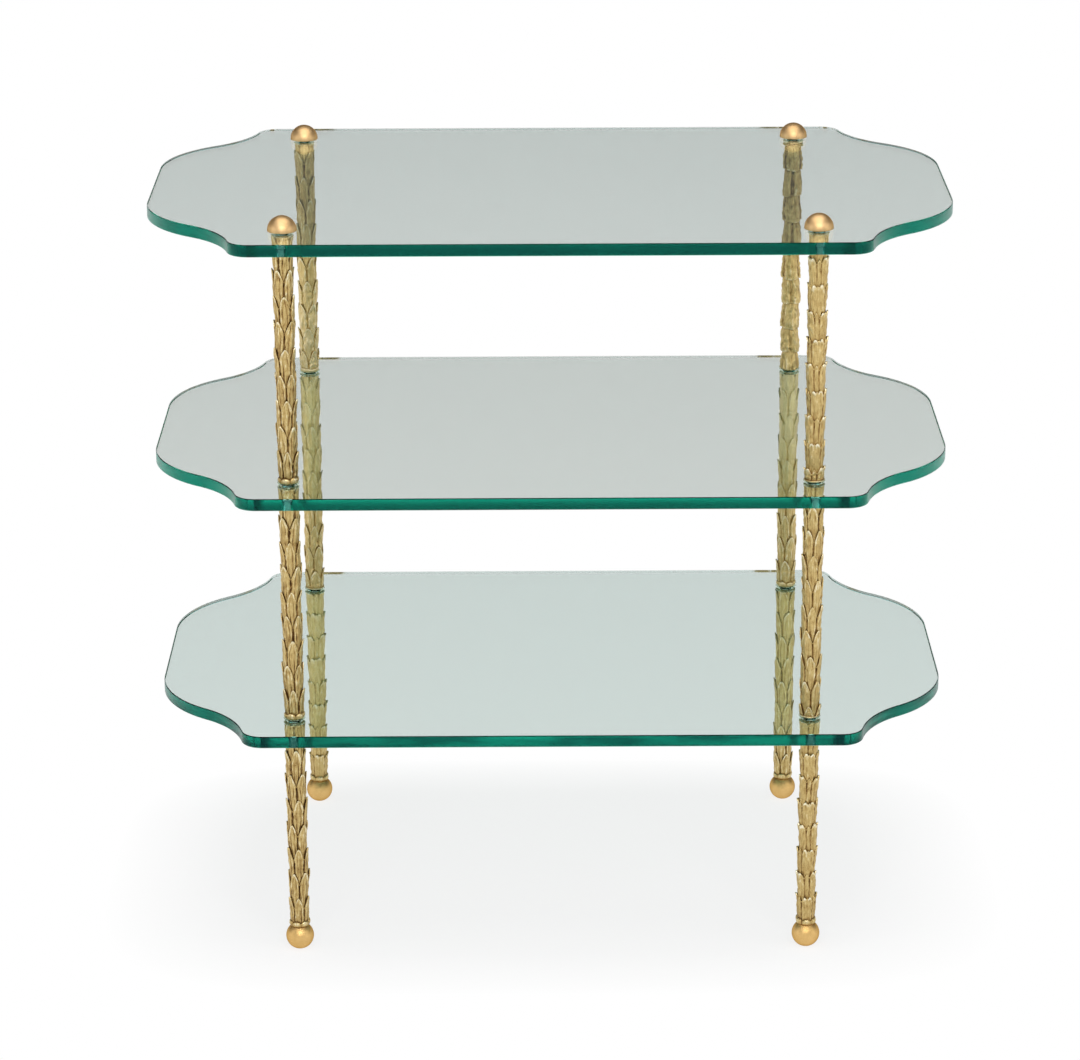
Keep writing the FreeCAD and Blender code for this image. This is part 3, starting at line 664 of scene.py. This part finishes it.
def rounded_ring(outer, inner, low, high):
    """The points of a flat ring with a rounded outer rim: a half circle as high as the ring is
    thick is carried round the axis, and the hole's wall is straight."""
    theta = ring_angles(LATHE_POINTS)
    half = (high - low) / 2
    bend = np.linspace(-math.pi / 2, math.pi / 2, WASHER_STEPS)
    rim_radius = outer - half + half * np.cos(bend)
    rim_height = (low + high) / 2 + half * np.sin(bend)
    radius = spun(np.concatenate([[inner], rim_radius, [inner, inner]]), theta)
    height = spun(np.concatenate([[low], rim_height, [high, low]]), theta)
    return round_points(radius, height, theta)


def make_washers(node):
    """The four clear washers on one side of a shelf."""
    _, _, low, high = place_of(node)
    _, far_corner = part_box(node)
    rings = []
    for corner in CORNERS:
        axis = post_axis(corner)
        outer = far_corner.x / MM - abs(axis[0])
        rings.append(rounded_ring(outer, WASHER_HOLE, low + SEAT_GAP, high - SEAT_GAP) + axis)
    piece = ring_piece(f"{node}_rings", rings, CLEAR_PLASTIC)
    hand_over(piece, node)


# Castings


def leaf_coordinate(theta, turn, count):
    """How far each column lies from the middle of its leaf, from -1 to 1, and the leaf's number."""
    turns = (theta - turn) / (FULL_TURN / count)
    leaf = np.round(turns)
    return 2.0 * (turns - leaf), leaf.astype(int) % count


def hump(value, width):
    """A bell of height 1: e to the minus square of the value over the width."""
    return np.exp(-((value / width) ** 2))


def through_knots(a, knots):
    """A curve over the size of a, straight from knot to knot, then eased over five columns."""
    places, values = zip(*knots)
    curve = np.interp(np.abs(a), places, values)
    easing = {-2: 0.1, -1: 0.2, 0: 0.4, 1: 0.2, 2: 0.1}
    return sum(weight * np.roll(curve, shift) for shift, weight in easing.items())


def soft_noise(shape, along, across, rng):
    """Random numbers of spread 1, eased to waves no shorter than the grid over along and across."""
    rows, columns = shape
    row_wave = np.fft.fftfreq(rows)[:, None] * rows
    column_wave = np.fft.fftfreq(columns)[None] * columns
    keep = np.exp(-((row_wave / along) ** 2) - (column_wave / across) ** 2)
    noise = np.fft.ifft2(np.fft.fft2(rng.normal(size=shape)) * keep).real
    return (noise - noise.mean()) / noise.std()


# The leaves of each kind of casting, with lengths in millimetres.
#   count: how many leaves a tier has.
#   fall, curl: how far the rim lies below the tip, and how far it bends out, from the middle of a
#     leaf at 0 to its border with the next at 1.
#   lip: how far down from the rim the curl reaches.
#   border: where the crease between two leaves lies, on the same way from 0 to 1.
#   waist, flare, belly: a leaf's radius at its foot, what it gains on the way to the tip, and what
#     it bulges half way up.
#   convex, crease, bead: how far the middle of a leaf stands out, how deep the crease is, and how
#     thick the bead along the rim.
#   rub, shine: how bright the rolled rim is rubbed, and the bead within it.
#   dim: how much of that is lost towards the border.
#   veins, score, lump: the height of the ribs, the depth of the scored lines and the size of lumps.
#   thickness, groove: how thick a leaf is at its rim, and how far under it the next tier starts.
POINTED = {
    "count": 5,
    "fall": ((0.0, 0.0), (0.14, 0.35), (0.3, 1.6), (0.5, 3.8), (0.7, 6.5), (0.86, 9.0), (1.0, 10.8)),
    "curl": ((0.0, 0.30), (0.3, 0.25), (0.6, 0.15), (1.0, 0.0)),
    "lip": 2.4, "border": 1.0,
    "waist": 7.15, "flare": 1.0, "belly": 0.25,
    "convex": 0.60, "crease": 1.1, "bead": 0.26,
    "rub": 0.72, "shine": 0.24, "dim": 0.70,
    "veins": 0.10, "score": 0.26, "lump": 0.16,
    "thickness": 0.9, "groove": 1.7,
}
BROAD = {**POINTED, "bead": 0.20, "shine": 0.20, "veins": 0.06, "score": 0.16, "lump": 0.20}
LIPPED = {
    "count": 3,
    "fall": (
        (0.0, 0.4), (0.05, 1.2), (0.12, 2.0), (0.19, 0.8), (0.26, 0.05), (0.36, 0.0),
        (0.46, 0.8), (0.58, 2.6), (0.72, 4.8), (0.84, 2.8), (0.94, 1.2), (1.0, 0.5),
    ),
    "curl": (
        (0.0, 0.3), (0.12, 0.3), (0.2, 0.65), (0.31, 0.85), (0.42, 0.7),
        (0.55, 0.3), (0.75, 0.0), (0.9, 0.2), (1.0, 0.4),
    ),
    "lip": 2.5, "border": 0.73,
    "waist": 7.1, "flare": 0.70, "belly": 0.35,
    "convex": 0.40, "crease": 0.70, "bead": 0.14,
    "rub": 0.62, "shine": 0.10, "dim": 0.20,
    "veins": 0.03, "score": 0.14, "lump": 0.20,
    "thickness": 1.0, "groove": 1.6,
}
BELL = {
    **LIPPED,
    "fall": ((0.0, 0.0), (0.4, 0.15), (0.8, 0.7), (0.92, 1.0), (1.0, 0.8)),
    "curl": ((0.0, -0.5), (1.0, -0.4)),
    "border": 0.92,
    "waist": 6.6, "flare": 1.60, "belly": 0.55,
    "convex": 0.6, "crease": 0.35, "bead": 0.0,
    "rub": 0.90,
    "score": 0.18, "lump": 0.34,
    "thickness": 1.2,
}


def stack_rows(rows, theta):
    """Rows of radius, height and relief, each a number or one value for each column."""
    return tuple(np.vstack([row[part] + 0.0 * theta for row in rows]) for part in range(3))


def join_parts(parts):
    """Parts of a casting, each rows of radius, height and relief, set one on the other."""
    return tuple(np.vstack(rows) for rows in zip(*parts))


def leaf_rims(leaves, theta, turn, tip, rng):
    """Where each column lies across its leaf, how high the leaf's rim is there, and its bulge.

    The leaves stray to the side in two slow waves round the tier. Each has its own height, bulge
    and size, which fade towards its border as 1 less the fourth power of the way there, and its
    own lean, which grows with the way less its cube."""
    count = leaves["count"]
    phases = rng.uniform(0.0, FULL_TURN, 2)
    stray = STRAYS[0] * np.sin(theta + phases[0]) + STRAYS[1] * np.sin(2.0 * theta + phases[1])
    a, leaf = leaf_coordinate(theta + stray, turn, count)
    inside = 1.0 - a**4
    even, bulge, size = (rng.uniform(-1.0, 1.0, count)[leaf] * inside for _ in range(3))
    lean = rng.uniform(-1.0, 1.0, count)[leaf] * (a - a**3)
    fall = through_knots(a, leaves["fall"]) * (1.0 + SIZE_SPREAD * size)
    return a, tip - fall + TIP_SPREAD * even + LEAN_SPREAD * lean, bulge


def leaf_marks(a, below_tip, to_rim, border_fall, rng):
    """The marks on a leaf: soft lumps, ribs and scored lines. Ribs are a cosine, and lines a bell
    wherever a sine is 0, across the leaf. Both draw together towards its tip, waver a little and
    stop short of the rim, and the lines break off here and there."""
    lump = soft_noise(below_tip.shape, 5.0, 16.0, rng)
    narrowing = np.clip(below_tip / border_fall, 0.05, 1.0) ** 0.7
    waver = 0.05 * soft_noise(below_tip.shape, 2.0, 9.0, rng)
    across = np.clip(a / narrowing, -1.0, 1.0) + waver
    broken = np.clip(0.55 + 0.6 * soft_noise(below_tip.shape, 2.5, 14.0, rng), 0.0, 1.0)
    veins = np.cos(3.0 * math.pi * across) * smooth_step(to_rim, 0.4, 1.6)
    scored = hump(np.sin(2.5 * math.pi * across), 0.42) * broken * smooth_step(to_rim, 0.6, 2.2)
    return lump, veins, scored


def rolled_rim(leaves, lip, rim, curl, rubbed, theta):
    """The rows that end a tier: the rim rolls over by the leaf's thickness, which grows with its
    curl, and drops under it into the groove for the next tier."""
    wall, deep = leaves["thickness"] + 0.9 * np.maximum(curl, 0.0), leaves["groove"]
    bottom = np.minimum(leaves["waist"] - 0.15, lip - wall - 0.05)
    rows = [
        (lip - 0.15 * wall, rim + 0.25 * wall, rubbed),
        (lip - 0.5 * wall, rim + 0.36 * wall, rubbed),
        (lip - 0.85 * wall, rim + 0.15 * wall, 0.5),
        (lip - wall, rim - 0.35 * deep, 0.2),
        (0.5 * (lip - wall + bottom), rim - 0.8 * deep, 0.04),
        (bottom, rim - deep, 0.0),
    ]
    return stack_rows(rows, theta)


def tier_of_leaves(leaves, theta, turn, tip, pitch, start, rng):
    """One tier of leaves, as rows of radius, height and relief.

    Each column climbs from where it starts, in the groove behind the tier below, to the rim, which
    lies the fall below the tip. On the way the radius is the waist, plus the flare times the
    square of the height up the leaf, plus a belly, plus the leaf's own camber, less a crease along
    the leaf's border and fine scored lines, plus a bead along the rim and the curl. The relief is
    highest on the bead and the curl and lowest in the crease, the pocket where it meets the rim,
    the scored lines and the groove. It is worn off towards the border, and the rolled rim is
    rubbed in patches."""
    start_radius, start_height = start
    a, rim, bulge = leaf_rims(leaves, theta, turn, tip, rng)
    slope = (np.roll(rim, -1) - np.roll(rim, 1)) / (2.0 * FULL_TURN / COLUMNS * MEAN_RADIUS)
    climb = 1.0 - (1.0 - np.linspace(0.0, 1.0, CLIMB_ROWS)[:, None]) ** 1.2
    height = start_height + (rim - start_height) * climb
    below_tip, below_rim = tip - height, rim - height
    to_rim = below_rim / np.sqrt(1.0 + slope**2)
    half_arc = MEAN_RADIUS * math.pi / leaves["count"]
    to_border = np.abs(np.abs(a) - leaves["border"]) * half_arc
    border_fall = leaves["fall"][-1][1]
    up = np.clip(1.0 - below_tip / (pitch + border_fall), 0.0, 1.0)
    bead = hump(to_rim, BEAD_WIDTH) * smooth_step(up, 0.2, 0.6)
    valley = hump(to_border, CREASE_WIDTH) * smooth_step(below_rim, 0.0, 1.2) * (0.6 + 0.4 * up)
    pocket = hump(to_border, POCKET_WIDTH) * hump(below_rim - 1.6, 2.4)
    camber = (1.0 - (a / leaves["border"]) ** 2) * smooth_step(up, 0.05, 0.5)
    curl = through_knots(a, leaves["curl"])
    curled = hump(below_rim, leaves["lip"])
    lump, veins, scored = leaf_marks(a, below_tip, to_rim, border_fall, rng)
    radius = leaves["waist"] + leaves["flare"] * up**2 + leaves["belly"] * np.sin(math.pi * up)
    radius = radius + leaves["convex"] * camber + leaves["bead"] * bead + leaves["veins"] * veins
    radius = radius - leaves["crease"] * valley - leaves["score"] * scored + leaves["lump"] * lump
    radius = radius + curl * curled + BULGE_SPREAD * bulge * up
    radius = start_radius + (radius - start_radius) * smooth_step(climb, 0.0, 0.10)
    worn = 1.0 - leaves["dim"] * np.abs(a) ** 1.5
    relief = BODY_RELIEF + 0.10 * up + leaves["shine"] * bead * worn + 1.2 * leaves["veins"] * veins
    relief = relief - 0.55 * valley - 0.22 * pocket - 1.7 * leaves["score"] * scored + 0.05 * lump
    relief = relief + 0.6 * np.clip(curl - 0.3, 0.0, 1.0) * curled
    relief = GROOVE_RELIEF + (relief - GROOVE_RELIEF) * smooth_step(climb, 0.0, 0.16)
    patchy = 0.9 + 0.16 * soft_noise(height.shape, 2.0, 20.0, rng)[0]
    rubbed = (leaves["rub"] + 0.7 * np.clip(curl, 0.0, 0.6)) * worn * patchy
    return join_parts([(radius, height, relief), rolled_rim(leaves, radius[-1], rim, curl, rubbed, theta)])


# The feet. Each takes the angles round it, its turn in radians and its own random draws, and the
# plain ones leave aside what they don't need.


def curled_foot(theta, turn, rng):
    """A ring of curled leaf ends, each a rounded knob: the radius swells with the knob, the square
    root of a cosine across it, and with a bell up its height, and falls away above to the groove
    behind it."""
    a, leaf = leaf_coordinate(theta, turn, KNOBS)
    even = rng.uniform(-0.5, 0.5, KNOBS)[leaf] * (1.0 - a**4)
    knob = np.sqrt(np.clip(np.cos(a * math.pi / 2), 0.0, 1.0))
    rim = 3.0 + 2.2 * knob + even
    swell = knob * (1.0 + 0.3 * even)
    rows = [
        (7.5, 0.0, 0.2),
        (7.7 + 0.6 * swell, 0.12 * rim, 0.25 + 0.4 * knob),
        (7.8 + 1.0 * swell, 0.35 * rim, 0.2 + 0.5 * knob),
        (7.8 + 1.15 * swell, 0.6 * rim, 0.2 + 0.6 * knob),
        (7.7 + 1.0 * swell, 0.82 * rim, 0.2 + 0.62 * knob),
        (7.4 + 0.7 * swell, 0.96 * rim, 0.2 + 0.5 * knob),
        (7.2 + 0.3 * swell, rim, 0.6 * knob),
        (7.0, rim - 0.9, 0.0),
    ]
    return stack_rows(rows, theta)


def banded_foot(theta, turn, rng):
    """A plain turned band, a little wider than the leaves over it, with a groove above."""
    rim = 3.0 + 0.25 * np.cos(3.0 * (theta - turn))
    rows = [(7.9, 0.0, 0.3), (8.1, 0.3, 0.5), (8.15, 0.5 * rim, 0.6), (8.1, rim - 0.3, 0.8)]
    rows += [(7.9, rim, 0.8), (7.6, rim - 0.1, 0.4), (7.1, rim - 0.8, 0.0)]
    return stack_rows(rows, theta)


def flanged_foot(theta, turn, rng):
    """A thin flange that stands out under the leaves."""
    rows = [(8.2, 0.0, 0.3), (8.5, 0.2, 0.7), (8.6, 0.6, 0.85), (8.4, 0.95, 0.75)]
    rows += [(8.0, 1.1, 0.3), (7.8, 1.2, 0.15)]
    return stack_rows(rows, theta)


def cut_level(radii, heights, reliefs, length):
    """Cuts a casting off level: past the first row where a column reaches the length, its points
    all lie where the column crosses it."""
    rows = np.arange(len(heights))[:, None]
    first = np.argmax(heights >= length, axis=0)
    columns = np.arange(heights.shape[1])
    before = first - 1
    share = (length - heights[before, columns]) / (heights[first, columns] - heights[before, columns])
    cut_radius = radii[before, columns] + share * (radii[first, columns] - radii[before, columns])
    over = rows >= first[None]
    radii = np.where(over, cut_radius[None], radii)
    heights = np.where(over, length, heights)
    last = int(first.max()) + 1
    return radii[:last], heights[:last], reliefs[:last]


def make_casting(node, leaves, foot, first_tip, pitch, turn, patina, upside_down):
    """One palm-trunk casting: its foot, then tiers of leaves, each turned by half a leaf from the one
    below, cut off level and bored at both ends for the studs. Between the bores its middle strays in two
    sine waves, as a hand-finished wax does. The dark finish in its recesses runs from the first of its two
    values low down to the second high up, as it stands, also when it hangs upside down. Where it grows
    towards the top of a post, it is painted shade under the shelf above."""
    x, y, low, high = place_of(node)
    length = high - low
    rng = np.random.default_rng(sum(node.encode()))
    theta = ring_angles(COLUMNS)
    half_leaf = math.pi / leaves["count"]
    parts = [foot(theta, (turn + 1.0) * half_leaf, rng)]
    deepest = max(fall for _, fall in leaves["fall"])
    tier = 0
    while first_tip + (tier - 1) * pitch - deepest - LAST_TIER_OVER < length:
        start = (parts[-1][0][-1], parts[-1][1][-1])
        tip = first_tip + tier * pitch
        parts.append(tier_of_leaves(leaves, theta, (turn + tier) * half_leaf, tip, pitch, start, rng))
        tier += 1
    below = [(BORE_RADIUS, level, BORE_RELIEF) for level in (CASTING_BORE, 0.0)]
    above = [(BORE_RADIUS, level, BORE_RELIEF) for level in (length, length - CASTING_BORE)]
    trunk = cut_level(*join_parts(parts), length)
    radii, heights, reliefs = join_parts([stack_rows(below, theta), trunk, stack_rows(above, theta)])
    points, faces = closed_shell(radii, heights, theta)
    up = points[:, 2]
    near, far = SWAY_ENDS
    free = smooth_step(up, near, far) * (1.0 - smooth_step(up, length - far, length - near))
    phases = rng.uniform(0.0, FULL_TURN, 2)
    for axis, wave in enumerate(SWAY_WAVES):
        points[:, axis] += SWAY * free * np.sin(up / wave + phases[axis])
    if upside_down:
        points = points * (1.0, -1.0, -1.0) + (0.0, 0.0, length)
    piece = new_piece(f"{node}_casting", points + (x, y, low), faces, [CAST_BRASS])
    low_down, high_up = patina
    # On the back upper posts the recesses grow darker towards the top shelf: painted shade under it.
    patina_shade_by_height = low_down + (high_up - low_down) * smooth_step(points[:, 2], 0.2 * length, 0.8 * length)
    set_values(piece.data, relief=np.append(reliefs, [BORE_RELIEF, BORE_RELIEF]), patina=patina_shade_by_height)
    merge_doubles(piece.data, CUT_JOIN)
    hand_over(piece, node)


# Each casting: its leaves, its foot, the height of its first tips, the spacing of its tiers, its turn in
# half leaves, and how strongly its recesses are darkened low down and high up. On the back upper posts the
# recesses grow darker towards the top shelf, which is painted shade under it.
CASTINGS = {
    "front_left_upper_post": (POINTED, curled_foot, 27.5, 21.7, 0.22, (1.0, 1.0)),
    "front_left_middle_post": (POINTED, curled_foot, 26.4, 21.45, 0.15, (0.92, 0.92)),
    "front_left_leg": (POINTED, curled_foot, 27.4, 22.1, 0.15, (1.0, 1.0)),
    "front_right_upper_post": (LIPPED, flanged_foot, 10.8, 22.0, 1.0, (0.8, 0.8)),
    "front_right_middle_post": (BROAD, flanged_foot, 10.3, 21.9, -0.05, (0.85, 0.85)),
    "front_right_leg": (LIPPED, curled_foot, 25.9, 21.6, 0.0, (0.85, 0.85)),
    "back_left_upper_post": (BROAD, banded_foot, 18.6, 21.6, 1.0, (0.25, 0.85)),
    "back_left_middle_post": (BROAD, flanged_foot, 18.2, 21.5, 0.2, (0.5, 0.38)),
    "back_left_leg": (LIPPED, curled_foot, 25.8, 21.8, 0.1, (0.65, 0.35)),
    "back_right_upper_post": (BELL, flanged_foot, 3.4, 22.4, 0.0, (0.55, 1.0)),
    "back_right_middle_post": (POINTED, curled_foot, 24.9, 21.9, -0.2, (0.5, 0.08)),
    "back_right_leg": (POINTED, curled_foot, 24.4, 21.8, 0.4, (0.85, 0.65)),
}
UPSIDE_DOWN = ("back_right_upper_post",)


# Building

for shelf in SHELVES:
    make_shelf(shelf)
    make_ground_bores(shelf)
    for side in ("lower", "upper"):
        make_washers(f"{shelf}_{side}_washers")
    refinish(f"{shelf}_sleeves", CLEAR_PLASTIC)

for corner in CORNERS:
    make_cap(corner)
    make_foot(corner)

for node, values in CASTINGS.items():
    make_casting(node, *values, node in UPSIDE_DOWN)

for group in ("cap_studs", "middle_studs", "lower_studs", "foot_studs"):
    refinish(group, THREADED_STEEL)


# Stage, light and camera, in metres

FLOOR_LENGTH = 40.0
LAMP_TARGET = (0.0, 0.0, 0.32)

# Each softbox: its width and height, its place and its radiance.
SOFTBOXES = {
    "overhead_softbox": (2.4, 2.0, (0.0, -0.3, 2.3), 1.9),
    "left_softbox": (1.4, 1.8, (-2.3, -1.0, 1.1), 1.1),
    "right_softbox": (1.4, 1.8, (2.3, -1.2, 1.2), 1.4),
    "front_softbox": (2.8, 1.6, (0.1, -3.0, 2.3), 4.4),
}

# The camera's focal length in millimetres, its place, and its pitch, yaw and roll in radians.
FOCAL_LENGTH = 130.446
CAMERA_PLACE = (-0.0117, -3.1847, 1.3941)
PITCH, YAW, ROLL = 0.32627, -0.00078, -0.00441


def make_floor():
    """A wide pale floor. Seen straight, in a mirror or through glass it is lifted to white, but in
    a rounded oblong under the etagere, where the fourth powers of the two distances from its
    middle add up to little, a fifth of its own shading stays, which keeps the shadow."""
    inputs = {"Roughness": 0.9, "Specular_IOR_Level": 0.0}
    material, tree, matt, output = new_material("pale_floor", **inputs)
    grain = object_noise(tree, 40.0)
    colour = colour_ramp(tree, grain, [(0.3, (0.905, 0.905, 0.905)), (0.7, (0.92, 0.92, 0.92))])
    tree.links.new(colour, matt.inputs["Base Color"])
    lit = add_node(tree, "ShaderNodeEmission", Strength=1.0, Color=(1.0, 1.0, 1.0, 1.0))
    path = add_node(tree, "ShaderNodeLightPath")
    seen = add_maths(tree, "MAXIMUM", path.outputs["Is Camera Ray"], path.outputs["Is Glossy Ray"])
    seen = add_maths(tree, "MAXIMUM", seen, path.outputs["Is Transmission Ray"])
    coordinates = add_node(tree, "ShaderNodeTexCoord")
    pool = add_node(tree, "ShaderNodeMapping", Scale=(2.8, 4.2, 0.0))
    tree.links.new(coordinates.outputs["Object"], pool.inputs["Vector"])
    square = add_node(tree, "ShaderNodeVectorMath", {"operation": "MULTIPLY"})
    fourth = add_node(tree, "ShaderNodeVectorMath", {"operation": "DOT_PRODUCT"})
    for index in (0, 1):
        tree.links.new(pool.outputs["Vector"], square.inputs[index])
        tree.links.new(square.outputs["Vector"], fourth.inputs[index])
    lift = map_range(tree, fourth.outputs["Value"], 0.30, 1.40, 0.80, 1.0)
    share = add_maths(tree, "MULTIPLY", seen, lift)
    mix = add_node(tree, "ShaderNodeMixShader")
    tree.links.new(share, mix.inputs["Fac"])
    tree.links.new(matt.outputs["BSDF"], mix.inputs[1])
    tree.links.new(lit.outputs["Emission"], mix.inputs[2])
    tree.links.new(mix.outputs["Shader"], output.inputs["Surface"])
    half = FLOOR_LENGTH / 2 / MM
    corners = [(-half, -half, 0.0), (half, -half, 0.0), (half, half, 0.0), (-half, half, 0.0)]
    new_piece("pale_floor", corners, [(0, 1, 2, 3)], [material], smooth=False)


def softbox(name, width, height, place, radiance):
    """A rectangular softbox that faces the etagere. Its power is its radiance times pi times its
    area."""
    lamp = bpy.data.lights.new(name, "AREA")
    lamp.shape = "RECTANGLE"
    lamp.size, lamp.size_y = width, height
    lamp.energy = radiance * math.pi * width * height
    box = bpy.data.objects.new(name, lamp)
    bpy.context.scene.collection.objects.link(box)
    aim = (Vector(LAMP_TARGET) - Vector(place)).to_track_quat("-Z", "Y")
    box.matrix_world = Matrix.Translation(place) @ aim.to_matrix().to_4x4()


def keep_off_the_glass(lamp_names):
    """Lets the lamps light everything but the glass plates, so that their outlines aren't mirrored
    in them."""
    lit = bpy.data.collections.new("lit_by_lamps")
    for thing in bpy.context.scene.objects:
        if thing.type == "MESH" and not thing.name.endswith("_plate"):
            lit.objects.link(thing)
    for name in lamp_names:
        bpy.data.objects[name].light_linking.receiver_collection = lit


def make_world():
    """The room: white where it is seen straight. In a mirror or through glass it is a white sweep
    that rises a little over the floor, with a dim ceiling above it, and all the light that it
    gives is dim."""
    world = bpy.data.worlds.new("studio")
    bpy.context.scene.world = world
    world.use_nodes = True
    tree = world.node_tree
    background = tree.nodes["Background"]
    background.inputs["Color"].default_value = (1.0, 1.0, 1.0, 1.0)
    coordinates = add_node(tree, "ShaderNodeTexCoord")
    parts = add_node(tree, "ShaderNodeSeparateXYZ")
    tree.links.new(coordinates.outputs["Generated"], parts.inputs["Vector"])
    sweep = map_range(tree, parts.outputs["Z"], 0.13, 0.20, 1.0, 0.0)
    path = add_node(tree, "ShaderNodeLightPath")
    mirrored, refracted = path.outputs["Is Glossy Ray"], path.outputs["Is Transmission Ray"]
    seen = add_maths(tree, "MAXIMUM", mirrored, refracted)
    seen = add_maths(tree, "MULTIPLY", seen, sweep)
    seen = add_maths(tree, "MAXIMUM", seen, path.outputs["Is Camera Ray"])
    tree.links.new(map_range(tree, seen, 0.0, 1.0, 0.10, 1.0), background.inputs["Strength"])


def make_camera():
    """The camera stands in front of the etagere and a little over it, turned by its yaw, tipped
    down by its pitch and rolled about its own view."""
    lens = bpy.data.cameras.new("camera")
    lens.sensor_width = 36.0
    lens.lens = FOCAL_LENGTH
    lens.clip_start, lens.clip_end = 0.05, 200.0
    camera = bpy.data.objects.new("camera", lens)
    bpy.context.scene.collection.objects.link(camera)
    turn = Matrix.Rotation(YAW, 4, "Z") @ Matrix.Rotation(math.pi / 2 - PITCH, 4, "X")
    turn = turn @ Matrix.Rotation(ROLL, 4, "Z")
    camera.matrix_world = Matrix.Translation(CAMERA_PLACE) @ turn
    bpy.context.scene.camera = camera


make_floor()
make_world()
for name, values in SOFTBOXES.items():
    softbox(name, *values)
keep_off_the_glass(SOFTBOXES)
make_camera()

scene = bpy.context.scene
scene.view_settings.view_transform = "Standard"
scene.cycles.max_bounces = 24
scene.cycles.glossy_bounces = 20
scene.cycles.transmission_bounces = 20
scene.cycles.transparent_max_bounces = 24
